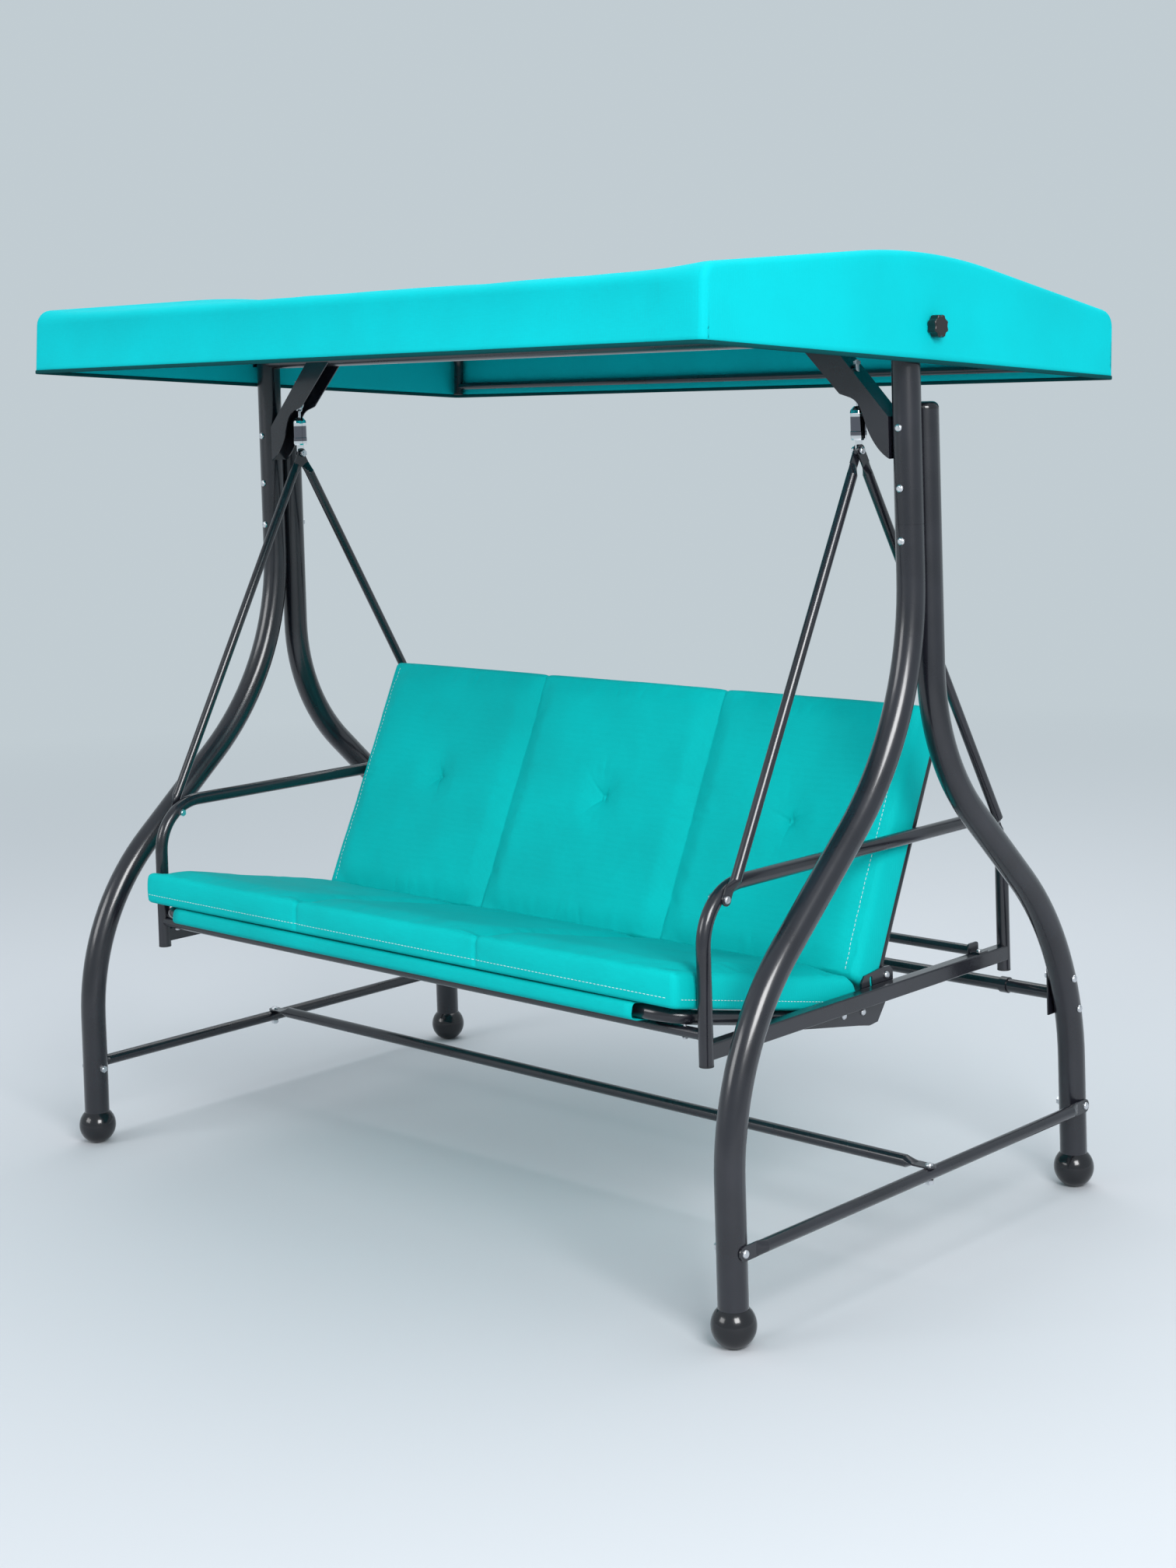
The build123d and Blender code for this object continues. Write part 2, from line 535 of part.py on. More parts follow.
rail_inner_x = ARM_X - RAIL_SIZE[0] / 2
rail_top_z = RAIL_Z + RAIL_SIZE[1] / 2
with BuildPart() as rear_cross_tube:
    tube_end = rail_inner_x - PLATE
    add(rod(at(-tube_end, REAR_CROSS_Y, REAR_CROSS_Z), at(tube_end, REAR_CROSS_Y, REAR_CROSS_Z), CROSS_R, 1.2))
    for side, sign in SIDES:
        # saddle: a cheek welded to the tube end and a flange that hooks over the rail
        with BuildSketch(side_plane(sign * (rail_inner_x - PLATE / 2))):
            with Locations((REAR_CROSS_Y, REAR_CROSS_Z - 4)):
                RectangleRounded(32, 38, radius=6)
        extrude(amount=PLATE / 2, both=True)
        with BuildSketch(Plane(origin=at(sign * (ARM_X - 2), REAR_CROSS_Y, rail_top_z))):
            Rectangle(RAIL_SIZE[0] + 1, 28)
        extrude(amount=PLATE)
        with Locations(at(sign * ARM_X, REAR_CROSS_Y, rail_top_z)):
            Cylinder(3.2, 20, mode=Mode.SUBTRACT)
save(rear_cross_tube.part, "rear_cross_tube")

seat_plane = Plane(origin=at(0, *SEAT_ORIGIN), x_dir=(1, 0, 0),
                   z_dir=(0, sin(radians(SEAT_SLOPE)), cos(radians(SEAT_SLOPE))))
seat_section = Plane(origin=at(0, *SEAT_ORIGIN), z_dir=(1, 0, 0),
                     x_dir=(0, cos(radians(SEAT_SLOPE)), -sin(radians(SEAT_SLOPE))))

TAB_BOLT_R = 3.6
TAB_BOLTS = ((-13.0, 400.0), (-68.0, 404.0))
seat_rear = [seat_plane.from_local_coords(Vector(x, SEAT_FRAME_DEPTH, 0)) for x in (-SEAT_FRAME_X, SEAT_FRAME_X)]
seat_along = Vector(0, cos(radians(SEAT_SLOPE)), -sin(radians(SEAT_SLOPE)))
with BuildPart() as seat_rear_tube:
    # its ends are coped to the side tubes
    add(rod(*seat_rear, SEAT_TUBE_R - 1.0, 1.5))
    for corner in seat_rear:
        add(rod(corner - seat_along * 40, corner + seat_along * 40, SEAT_TUBE_R - 0.7), mode=Mode.SUBTRACT)

with BuildPart() as seat_frame:
    add(bent_tube(seat_plane, ((-SEAT_FRAME_X, SEAT_FRAME_DEPTH + 20), (-SEAT_FRAME_X, 0), (SEAT_FRAME_X, 0),
                               (SEAT_FRAME_X, SEAT_FRAME_DEPTH + 20)), (60, 60), SEAT_TUBE_R, 1.5))
    add(seat_rear_tube.part)
    for side, sign in SIDES:
        # steel tab that carries the recline plate
        with BuildSketch(side_plane(sign * (SEAT_FRAME_X + SEAT_TUBE_R + 1))):
            with BuildLine():
                Polyline((-100, 396), (14, 372), (14, 392), (4, 415), (-88, 423), (-100, 413), (-100, 396))
            make_face()
        extrude(amount=2, both=True)
        for y, z in TAB_BOLTS:
            add(along_x(at(sign * 706.7, y, z), TAB_BOLT_R + 0.1, 8), mode=Mode.SUBTRACT)
        with Locations(at(sign * FRONT_BOLT_X, ARM_FRONT_Y, FRONT_CROSS_Z + 16)):
            Cylinder(3.2, 24, mode=Mode.SUBTRACT)
save(seat_frame.part, "seat_frame")

with BuildPart() as seat_sling:
    wrap_in = SEAT_TUBE_R + 0.1
    wrap_out = wrap_in + SLING_THICK
    with BuildSketch(seat_section):
        # flat over the frame, wrapped half round its front and rear tubes
        with Locations((SEAT_FRAME_DEPTH / 2, wrap_in + SLING_THICK / 2)):
            Rectangle(SEAT_FRAME_DEPTH, SLING_THICK)
        for u, facing in ((0, 180), (SEAT_FRAME_DEPTH, 0)):
            with BuildLine():
                outer = CenterArc((u, 0), wrap_out, 90, 180 if facing else -180)
                inner = CenterArc((u, 0), wrap_in, 90, 180 if facing else -180)
                Line(outer @ 0, inner @ 0)
                Line(outer @ 1, inner @ 1)
            make_face()
        for u in (35, SEAT_FRAME_DEPTH - 35):
            with Locations((u, -wrap_in - SLING_THICK / 2)):
                Rectangle(70, SLING_THICK)
    extrude(amount=SLING_HALF_WIDTH, both=True)
save(seat_sling.part, "seat_sling")

with BuildPart() as seat_cushion:
    cushion_floor = wrap_out + 0.3
    with BuildSketch(seat_section):
        with BuildLine():
            Polyline((-31, cushion_floor), (-41, SEAT_CUSHION_TOP), (437, SEAT_CUSHION_TOP), (478, cushion_floor),
                     (-31, cushion_floor))
        make_face()
    extrude(amount=CUSHION_HALF_WIDTH, both=True)
    fillet(seat_cushion.edges().filter_by(Axis.X).sort_by(Axis.Z)[-2:], radius=18)
save(seat_cushion.part, "seat_cushion")

back_dir = Vector(0, sin(radians(BACK_LEAN)), cos(radians(BACK_LEAN)))
back_rear = Vector(0, cos(radians(BACK_LEAN)), -sin(radians(BACK_LEAN)))
back_corner = at(0, *BACK_ORIGIN)


def on_back(x, t, depth):
    """Point on the backrest: t up along it, depth behind the cushion's front."""
    return back_corner + Vector(x, 0, 0) + back_dir * t + back_rear * depth


PIVOT = on_back(0, PIVOT_T, BACK_FRAME_DEPTH)
pivot_y, pivot_z = PIVOT.Y - POST_PLANE_Y, PIVOT.Z
LEVER = 45.0                  # pivot to guide pin
LEVER_ANGLE = 240.0           # guide pin's direction from the pivot at rest
RECLINE = 61.7                # degrees from upright to flat

for side, sign in SIDES:
    with BuildPart() as recline_plate:
        with BuildSketch(side_plane(sign * RECLINE_PLATE_X)):
            with BuildLine():
                Polyline((-190, 413), (-178, 404), (10, 372), (30, 374), (52, 402), (78, 440), (78, 458), (70, 466),
                         (50, 468), (-6, 462), (-14, 450), (-14, 428), (-180, 432), (-190, 425), (-190, 413))
            make_face()
        extrude(amount=2, both=True)
        add(along_x(at(sign * RECLINE_PLATE_X, pivot_y, pivot_z), BOLT_R + 0.06, 10), mode=Mode.SUBTRACT)
        for y, z in TAB_BOLTS:
            add(along_x(at(sign * RECLINE_PLATE_X, y, z), HOLE_R, 10), mode=Mode.SUBTRACT)
        # curved slot that the guide pin runs in, with play at both ends
        with BuildSketch(side_plane(sign * RECLINE_PLATE_X)):
            with BuildLine():
                outer = CenterArc((pivot_y, pivot_z), LEVER + 3.6, LEVER_ANGLE - RECLINE - 2, RECLINE + 4)
                inner = CenterArc((pivot_y, pivot_z), LEVER - 3.6, LEVER_ANGLE - RECLINE - 2, RECLINE + 4)
                TangentArc(outer @ 1, inner @ 1, tangent=outer % 1)
                TangentArc(outer @ 0, inner @ 0, tangent=-(outer % 0))
            make_face()
        extrude(amount=4, both=True, mode=Mode.SUBTRACT)
    save(recline_plate.part, f"recline_plate_{side}")

with BuildPart() as seat_bolts:
    for side, sign in SIDES:
        for y, z in TAB_BOLTS:
            add(bolt(at(sign * (RECLINE_PLATE_X + 2), y, z), (-sign, 0, 0), 11, shank=TAB_BOLT_R, nut=False))
            add(rod(at(sign * 705.6, y, z), at(sign * 709.9, y, z), 7.5))
        add(bolt(at(sign * FRONT_BOLT_X, ARM_FRONT_Y, FRONT_CROSS_Z - CROSS_R), (0, 0, 1), 28, shank=3, nut=False))
        add(bolt(at(sign * ARM_X, REAR_CROSS_Y, rail_top_z + PLATE), (0, 0, -1), 4, shank=3, nut=False))
save(seat_bolts.part, "seat_bolts")

with BuildPart() as hanger_bolts:
    for side, sign in SIDES:
        add(bolt(at(sign * (HANG_X + 6.3), HANG_Y, APEX_Z), (-sign, 0, 0), 9.6 + 3, shank=3.9))
        for y, z in (FRONT_HANGER_BOLT, REAR_HANGER_BOLT):
            add(bolt(at(sign * (HANG_X - 8 + PLATE / 2), y, z), (-sign, 0, 0), 2 * ARM_R + PLATE + 0.6, shank=3.9))
save(hanger_bolts.part, "hanger_bolts")


# ============================= backrest ==============================

back_plane = Plane(origin=on_back(0, 0, BACK_FRAME_DEPTH), x_dir=(1, 0, 0), z_dir=-back_rear)
with BuildPart() as back_frame:
    bow = ((-BACK_FRAME_X, PIVOT_T), (-BACK_FRAME_X, BACK_TOP), (BACK_FRAME_X, BACK_TOP), (BACK_FRAME_X, PIVOT_T))
    add(bent_tube(back_plane, bow, (60, 60), BACK_TUBE_R))
    add(rod(PIVOT - (706, 0, 0), PIVOT + (706, 0, 0), BACK_TUBE_R))
    add(bent_tube(back_plane, bow, (60, 60), BACK_TUBE_R - 1.5), mode=Mode.SUBTRACT)
    add(rod(PIVOT - (690, 0, 0), PIVOT + (690, 0, 0), BACK_TUBE_R - 1.5), mode=Mode.SUBTRACT)
    pin_y = pivot_y + LEVER * cos(radians(LEVER_ANGLE))
    pin_z = pivot_z + LEVER * sin(radians(LEVER_ANGLE))
    for side, sign in SIDES:
        # heel lever welded to the pivot tube, with the guide pin in its end
        with BuildSketch(Plane(origin=at(sign * 705, (pivot_y + pin_y) / 2, (pivot_z + pin_z) / 2), z_dir=(1, 0, 0),
                               x_dir=(0, pin_y - pivot_y, pin_z - pivot_z))):
            SlotCenterToCenter(LEVER, 16)
        extrude(amount=1.5, both=True)
        add(rod(at(sign * 706, pin_y, pin_z), at(sign * 713.2, pin_y, pin_z), 3.4))
        add(along_x(at(sign * 700, pivot_y, pivot_z), BOLT_R, 20), mode=Mode.SUBTRACT)
save(back_frame.part, "back_frame")

with BuildPart() as pivot_bolts:
    for side, sign in SIDES:
        add(bolt(at(sign * (RECLINE_PLATE_X + 2.3), pivot_y, pivot_z), (-sign, 0, 0), 22, nut=False))
save(pivot_bolts.part, "pivot_bolts")

back_section = Plane(origin=back_corner, x_dir=back_rear, z_dir=(1, 0, 0))
with BuildPart() as back_sling:
    with BuildSketch(back_section):
        # stretched over the front of the frame
        with Locations((BACK_CUSHION_THICK + 1.5, (PIVOT_T + BACK_TOP) / 2)):
            Rectangle(SLING_THICK, BACK_TOP - PIVOT_T - 2 * BACK_TUBE_R)
    extrude(amount=SLING_HALF_WIDTH, both=True)
save(back_sling.part, "back_sling")

with BuildPart() as back_cushion:
    with BuildSketch(back_section):
        with Locations((BACK_CUSHION_THICK / 2, BACK_CUSHION_LENGTH / 2)):
            Rectangle(BACK_CUSHION_THICK, BACK_CUSHION_LENGTH)
    extrude(amount=CUSHION_HALF_WIDTH, both=True)
    fillet(back_cushion.edges().filter_by(Axis.X).sort_by(Axis.Z)[-2:], radius=20)
    for x in (-BUTTON_X, 0, BUTTON_X):
        with BuildSketch(Plane(origin=on_back(x, BUTTON_T, 0), z_dir=back_rear)):
            Circle(10)
        extrude(amount=8, mode=Mode.SUBTRACT)
save(back_cushion.part, "back_cushion")

with BuildPart() as back_buttons:
    for x in (-BUTTON_X, 0, BUTTON_X):
        add(domed_rod(on_back(x, BUTTON_T, 7.9), on_back(x, BUTTON_T, 2), 9, 3))
save(back_buttons.part, "back_buttons")


# ============================== canopy ===============================

tilt = radians(CANOPY_TILT)
canopy_x_dir = (0, cos(tilt), -sin(tilt))
TILT_POINT = at(0, *TILT_AXIS)
CANOPY_UP = (0, sin(tilt), cos(tilt))


def canopy_section(x):
    """Canopy's own side plane: local x to the rear, local y up, origin at its middle."""
    plane = Plane(origin=at(x, *TILT_AXIS), x_dir=canopy_x_dir, z_dir=(1, 0, 0))
    return Plane(origin=plane.from_local_coords(Vector(CANOPY_MID, 0, 0)), x_dir=canopy_x_dir, z_dir=(1, 0, 0))


def roof_outline(inset):
    """Eave corner and ridge apex of the roof line, moved inward by inset."""
    rise = tan(radians(CANOPY_PITCH))
    half = CANOPY_HALF_DEPTH - inset
    eave = CANOPY_EAVE + inset * rise - inset / cos(radians(CANOPY_PITCH))
    return half, eave, eave + half * rise


def roof_block(inset):
    """Solid under the roof line, moved inward by inset, its end edges rounded."""
    half, eave, apex = roof_outline(inset)
    floor = CANOPY_HEM - (10 if inset else 0)
    with BuildPart() as block:
        with BuildSketch(canopy_section(0)):
            with BuildLine():
                roof = FilletPolyline((-half, floor), (-half, eave), (0, apex), (half, eave), (half, floor),
                                      radius=(32 - inset, CANOPY_RIDGE_R - inset, 32 - inset))
                Line(roof @ 0, roof @ 1)
            make_face()
        extrude(amount=CANOPY_HALF_LENGTH - inset, both=True)
        hem_edges = block.faces().sort_by(Axis(TILT_POINT, CANOPY_UP))[0].edges()
        end_edges = block.faces().filter_by(Axis.X).edges()
        fillet([edge for edge in end_edges if edge not in hem_edges], radius=COVER_ROUNDING - inset)
    return block.part


with BuildPart() as canopy_cover:
    add(roof_block(0))
    add(roof_block(COVER_THICK), mode=Mode.SUBTRACT)
    for side, sign in SIDES:
        add(along_x(at(sign * CANOPY_HALF_LENGTH, *TILT_AXIS), 6, 20), mode=Mode.SUBTRACT)
save(canopy_cover.part, "canopy_cover")

bow_inset = COVER_THICK + BOW_R + 1
bow_half, bow_eave, bow_apex = roof_outline(bow_inset)
bow_foot = CANOPY_HEM + 7
for side, sign in SIDES:
    with BuildPart() as canopy_bow:
        path_points = ((-bow_half, bow_foot), (-bow_half, bow_eave), (0, bow_apex), (bow_half, bow_eave),
                       (bow_half, bow_foot))
        add(bent_tube(canopy_section(sign * BOW_X), path_points, (45, CANOPY_RIDGE_R, 45), BOW_R, 1.2))
        # hanger plate from the bow down to the tilt axis
        with BuildSketch(canopy_section(sign * (BOW_X + BOW_R + 0.8))):
            with Locations((-CANOPY_MID, 54)):
                Rectangle(26, 108)
            with Locations((-CANOPY_MID, 0)):
                Circle(13)
        extrude(amount=1.4, both=True)
        add(along_x(at(sign * (BOW_X + BOW_R), *TILT_AXIS), BOLT_R + 0.06, 20), mode=Mode.SUBTRACT)
    save(canopy_bow.part, f"canopy_bow_{side}")

frame_plane = canopy_section(0)
tube_span = BOW_X - BOW_R + 6
for row, sign in (("front", -1), ("rear", 1)):
    with BuildPart() as edge_tube:
        start = frame_plane.from_local_coords(Vector(sign * bow_half, CANOPY_HEM + 24, -tube_span))
        end = frame_plane.from_local_coords(Vector(sign * bow_half, CANOPY_HEM + 24, tube_span))
        add(rod(start, end, 8, 1.2))
        for side, way in SIDES:
            corner = frame_plane.from_local_coords(Vector(sign * bow_half, CANOPY_HEM + 24, way * BOW_X))
            upright = Plane(origin=corner, x_dir=(1, 0, 0), z_dir=(0, sin(tilt), cos(tilt)))
            with Locations(Location(upright)):
                Cylinder(BOW_R, 80, mode=Mode.SUBTRACT)
    save(edge_tube.part, f"canopy_{row}_tube")

with BuildPart() as canopy_ridge_tube:
    ridge_t = bow_apex - 26
    start = frame_plane.from_local_coords(Vector(0, ridge_t, -(BOW_X - BOW_R)))
    end = frame_plane.from_local_coords(Vector(0, ridge_t, BOW_X - BOW_R))
    add(rod(start, end, 8, 1.2))
    for side, sign in SIDES:
        # hook plate that hangs the ridge tube under the bow
        with BuildSketch(canopy_section(sign * (BOW_X - BOW_R - 1.5))):
            with Locations((0, ridge_t + 8)):
                RectangleRounded(24, 34, radius=5)
        extrude(amount=1.4, both=True)
save(canopy_ridge_tube.part, "canopy_ridge_tube")

with BuildPart() as canopy_end_caps:
    for side, sign in SIDES:
        for row in (-1, 1):
            foot = frame_plane.from_local_coords(Vector(row * bow_half, bow_foot, sign * BOW_X))
            up = Vector(0, sin(tilt), cos(tilt))
            add(rod(foot - up * 3, foot, BOW_R))
            add(rod(foot - up * 1, foot + up * 10, BOW_R - 1.2))
save(canopy_end_caps.part, "canopy_end_caps")

for side, sign in SIDES:
    with BuildPart() as knob:
        base_x = sign * (CANOPY_HALF_LENGTH + 0.5)
        with BuildSketch(side_plane(base_x)):
            with Locations(TILT_AXIS):
                Circle(KNOB_R)
                with PolarLocations(KNOB_R + 7, 8):
                    Circle(9.5, mode=Mode.SUBTRACT)
        extrude(amount=sign * 16)
        rim = knob.faces().sort_by(Axis.X)[-1 if sign > 0 else 0]
        fillet(rim.edges(), radius=3)
        add(along_x(at(base_x, *TILT_AXIS), BOLT_R, 20), mode=Mode.SUBTRACT)
    save(knob.part, f"knob_{side}")

    with BuildPart() as knob_stud:
        add(rod(at(sign * 862, *TILT_AXIS), at(base_x + sign * 10, *TILT_AXIS), BOLT_R))
    save(knob_stud.part, f"knob_stud_{side}")
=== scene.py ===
"""Looks of the canopy swing: fabric, stitching, materials, light and camera.

Metres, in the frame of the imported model: +Z up, the sitter faces -Y, X along the seat.
"""
import json
from math import atan2, cos, exp, hypot, pi, radians, sin, tan

import bmesh
import bpy
from mathutils import Matrix, Vector, noise
from mathutils.bvhtree import BVHTree


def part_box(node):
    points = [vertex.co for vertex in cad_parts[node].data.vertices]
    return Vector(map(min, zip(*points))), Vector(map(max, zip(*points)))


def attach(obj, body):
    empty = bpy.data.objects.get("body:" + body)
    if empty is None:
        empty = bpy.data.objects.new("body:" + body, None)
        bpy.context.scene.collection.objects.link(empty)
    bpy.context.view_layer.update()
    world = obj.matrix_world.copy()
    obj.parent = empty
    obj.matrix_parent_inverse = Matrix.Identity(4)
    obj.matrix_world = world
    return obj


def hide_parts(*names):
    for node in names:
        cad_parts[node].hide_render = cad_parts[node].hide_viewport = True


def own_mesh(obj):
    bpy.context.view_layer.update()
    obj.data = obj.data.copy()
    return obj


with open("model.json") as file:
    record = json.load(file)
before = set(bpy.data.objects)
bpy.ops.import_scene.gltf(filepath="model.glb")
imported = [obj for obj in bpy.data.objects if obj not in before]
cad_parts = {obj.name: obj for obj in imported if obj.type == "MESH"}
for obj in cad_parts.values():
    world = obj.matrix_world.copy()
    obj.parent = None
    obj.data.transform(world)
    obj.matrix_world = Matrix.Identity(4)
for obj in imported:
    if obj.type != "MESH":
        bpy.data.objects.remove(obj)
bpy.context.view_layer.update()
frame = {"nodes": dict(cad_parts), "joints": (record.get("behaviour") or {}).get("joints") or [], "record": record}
SCENE = bpy.context.scene
NODES = frame["nodes"]
JOINTS = {joint["name"]: joint for joint in frame["joints"]}

# driving sizes, the CAD's own unless the comment says otherwise
CANOPY_TILT = radians(3.73)
CANOPY_MID = -0.0125           # canopy's middle from its tilt axis
CANOPY_HALF_LENGTH = 0.890
CANOPY_HALF_DEPTH = 0.588
CANOPY_HEM = -0.062
CANOPY_EAVE = 0.062
CANOPY_PITCH = radians(7.2)
CANOPY_RIDGE_R = 1.5
EAVE_R = 0.032
BOW_X = 0.868
SEAT_SLOPE = radians(12.15)
SEAT_ORIGIN = (-0.480, 0.485)
SEAT_FRAME_DEPTH = 0.505
SEAT_TOP = 0.077
BACK_LEAN = radians(25.4)
BACK_ORIGIN = (-0.030, 0.467)
BACK_THICK = 0.072
BACK_LENGTH = 0.5015
BACK_SLING_DEPTH = 0.0735
BACK_SLING_RANGE = (0.0352, 0.472)
SEAT_SLING_LIFT = 0.0133
SEAT_FLOOR = 0.0143            # underside of the seat cushion
SLING_HALF_WIDTH = 0.618
CUSHION_HALF = 0.709           # 9 mm more than the CAD's
SEAM_X = 0.243                 # the two seams between the three sections
BUTTON_T = 0.261
BUTTONS_X = (-0.467, 0.006, 0.480)     # the CAD's are at -0.467, 0 and 0.467
TILT_AXIS = Vector(JOINTS["canopy_tilt"]["pos_m"])
POST_PLANE_Y = TILT_AXIS.y - 0.004

# driving sizes of the fabric
CLOTH_THICK = 0.0012
COVER_ROUNDING = 0.012         # the cover's end edges
COVER_COLUMNS = 118
COVER_SAG = 0.011              # between the end bows
SIDE_HOLLOW = 0.007            # in the cover's front and rear faces
GUSSET_HOLLOW = 0.0035
GUSSET_ROWS = 12
PAD_ROUNDING = 0.013           # upper edges of a cushion
PAD_BASE_ROUNDING = 0.005
PAD_STEP = 0.0115              # spacing of a cushion's points before subdivision
FILL_PRESSURE = 4.0
FILL_SLACK = 0.009             # share by which the cloth is cut larger than its shape
FILL_CAP = 0.010               # furthest that filling may move a point
SIM_FRAMES = 20
BUTTON_SINK = 0.0165           # depth of a button's base under the cushion's face
SLING_FLAP = 0.070
SLING_SAG = 0.0035
STITCH_PITCH = 0.0085
STITCH_LENGTH = 0.0058
STITCH_R = 0.00055
SEAT_STITCH_V = 0.031          # the seam's height on the seat cushion's faces


# ============================ materials ============================

def new_material(name):
    """Empty node material: returns it, its node tree and its Principled shader."""
    material = bpy.data.materials.new(name)
    material.use_nodes = True
    tree = material.node_tree
    return material, tree, tree.nodes["Principled BSDF"]


def node(tree, kind, **settings):
    """Adds a shader node with some of its inputs or properties set."""
    made = tree.nodes.new(kind)
    for key, value in settings.items():
        if key in made.inputs:
            made.inputs[key].default_value = value
        else:
            setattr(made, key, value)
    return made


def object_coords(tree, scale=1.0):
    """Object coordinates, scaled."""
    coords = node(tree, "ShaderNodeTexCoord")
    mapping = node(tree, "ShaderNodeMapping")
    mapping.inputs["Scale"].default_value = (scale, scale, scale) if isinstance(scale, (int, float)) else scale
    tree.links.new(coords.outputs["Object"], mapping.inputs["Vector"])
    return mapping.outputs["Vector"]


def ramp(tree, source, low, high, low_colour, high_colour):
    """Colour ramp between two colours."""
    made = node(tree, "ShaderNodeValToRGB")
    made.color_ramp.elements[0].position = low
    made.color_ramp.elements[0].color = (*low_colour, 1)
    made.color_ramp.elements[1].position = high
    made.color_ramp.elements[1].color = (*high_colour, 1)
    tree.links.new(source, made.inputs["Fac"])
    return made.outputs["Color"]


def bump_from(tree, shader, height, strength, distance, under=None):
    """Bump from a height, on top of another bump if one is given."""
    bump = node(tree, "ShaderNodeBump", Strength=strength, Distance=distance)
    tree.links.new(height, bump.inputs["Height"])
    if under is not None:
        tree.links.new(under, bump.inputs["Normal"])
    tree.links.new(bump.outputs["Normal"], shader.inputs["Normal"])
    return bump.outputs["Normal"]


def value_map(tree, source, low, high):
    """Maps 0..1 to low..high."""
    made = node(tree, "ShaderNodeMapRange")
    made.inputs["To Min"].default_value = low
    made.inputs["To Max"].default_value = high
    tree.links.new(source, made.inputs["Value"])
    return made.outputs["Result"]


def painted_steel(name, dark, light, rough):
    """Satin powder coat: fine orange peel, faint mottling and uneven gloss."""
    material, tree, shader = new_material(name)
    mottle = node(tree, "ShaderNodeTexNoise", Scale=9.0, Detail=4.0)
    tree.links.new(object_coords(tree), mottle.inputs["Vector"])
    tree.links.new(ramp(tree, mottle.outputs["Fac"], 0.3, 0.75, dark, light), shader.inputs["Base Color"])
    tree.links.new(value_map(tree, mottle.outputs["Fac"], rough - 0.06, rough + 0.08), shader.inputs["Roughness"])
    shader.inputs["Metallic"].default_value = 0.1
    shader.inputs["Coat Weight"].default_value = 0.5
    shader.inputs["Coat Roughness"].default_value = 0.13
    peel = node(tree, "ShaderNodeTexNoise", Scale=420.0, Detail=2.0)
    tree.links.new(object_coords(tree), peel.inputs["Vector"])
    bump_from(tree, shader, peel.outputs["Fac"], 0.07, 0.0004)
    return material


def bare_metal(name, colour, rough, grain):
    """Plated or polished steel with a fine uneven finish."""
    material, tree, shader = new_material(name)
    shader.inputs["Metallic"].default_value = 1.0
    cloud = node(tree, "ShaderNodeTexNoise", Scale=160.0, Detail=3.0)
    tree.links.new(object_coords(tree), cloud.inputs["Vector"])
    low = tuple(channel * 0.8 for channel in colour)
    tree.links.new(ramp(tree, cloud.outputs["Fac"], 0.25, 0.7, low, colour), shader.inputs["Base Color"])
    tree.links.new(value_map(tree, cloud.outputs["Fac"], rough, rough + grain), shader.inputs["Roughness"])
    return material


def moulded_plastic(name, colour, rough, texture):
    """Moulded plastic with a fine spark-eroded texture."""
    material, tree, shader = new_material(name)
    grain = node(tree, "ShaderNodeTexNoise", Scale=900.0, Detail=2.0)
    tree.links.new(object_coords(tree), grain.inputs["Vector"])
    light = tuple(channel * 1.35 for channel in colour)
    tree.links.new(ramp(tree, grain.outputs["Fac"], 0.3, 0.7, colour, light), shader.inputs["Base Color"])
    tree.links.new(value_map(tree, grain.outputs["Fac"], rough, rough + 0.1), shader.inputs["Roughness"])
    shader.inputs["Specular IOR Level"].default_value = 0.55
    bump_from(tree, shader, grain.outputs["Fac"], texture, 0.0003)
    return material


def woven_fabric(name, colour, thread=0.0009, sheen=0.04, variation=0.12):
    """Plain-weave polyester: crossed threads, slub, and soft large-scale colour variation."""
    material, tree, shader = new_material(name)
    heights = []
    for direction in ("X", "Y"):
        wave = node(tree, "ShaderNodeTexWave", wave_type="BANDS", bands_direction=direction, Scale=0.5 / thread / 10,
                    Distortion=0.6, Detail=1.0)
        wave.inputs["Detail Scale"].default_value = 3.0
        tree.links.new(object_coords(tree), wave.inputs["Vector"])
        heights.append(wave.outputs["Fac"])
    weave = node(tree, "ShaderNodeMath", operation="MULTIPLY")
    tree.links.new(heights[0], weave.inputs[0])
    tree.links.new(heights[1], weave.inputs[1])
    cloud = node(tree, "ShaderNodeTexNoise", Scale=5.0, Detail=5.0)
    tree.links.new(object_coords(tree), cloud.inputs["Vector"])
    slub = node(tree, "ShaderNodeTexNoise", Scale=1.0, Detail=3.0)
    tree.links.new(object_coords(tree, scale=(60, 700, 700)), slub.inputs["Vector"])
    mixed = node(tree, "ShaderNodeMath", operation="MULTIPLY_ADD")
    mixed.inputs[1].default_value = 0.45
    tree.links.new(slub.outputs["Fac"], mixed.inputs[0])
    tree.links.new(cloud.outputs["Fac"], mixed.inputs[2])
    dark = tuple(channel * (1 - variation) for channel in colour)
    light = tuple(min(1.0, channel * (1 + variation * 0.6)) for channel in colour)
    tree.links.new(ramp(tree, mixed.outputs[0], 0.45, 0.95, dark, light), shader.inputs["Base Color"])
    tree.links.new(value_map(tree, cloud.outputs["Fac"], 0.66, 0.86), shader.inputs["Roughness"])
    shader.inputs["Specular IOR Level"].default_value = 0.1
    shader.inputs["Sheen Weight"].default_value = sheen
    shader.inputs["Sheen Roughness"].default_value = 0.5
    shader.inputs["Sheen Tint"].default_value = (*colour, 1)
    creases = node(tree, "ShaderNodeTexNoise", Scale=7.0, Detail=6.0, Roughness=0.55)
    tree.links.new(object_coords(tree), creases.inputs["Vector"])
    under = bump_from(tree, shader, creases.outputs["Fac"], 0.12, 0.01)
    bump_from(tree, shader, weave.outputs[0], 0.3, 0.0004, under)
    return material


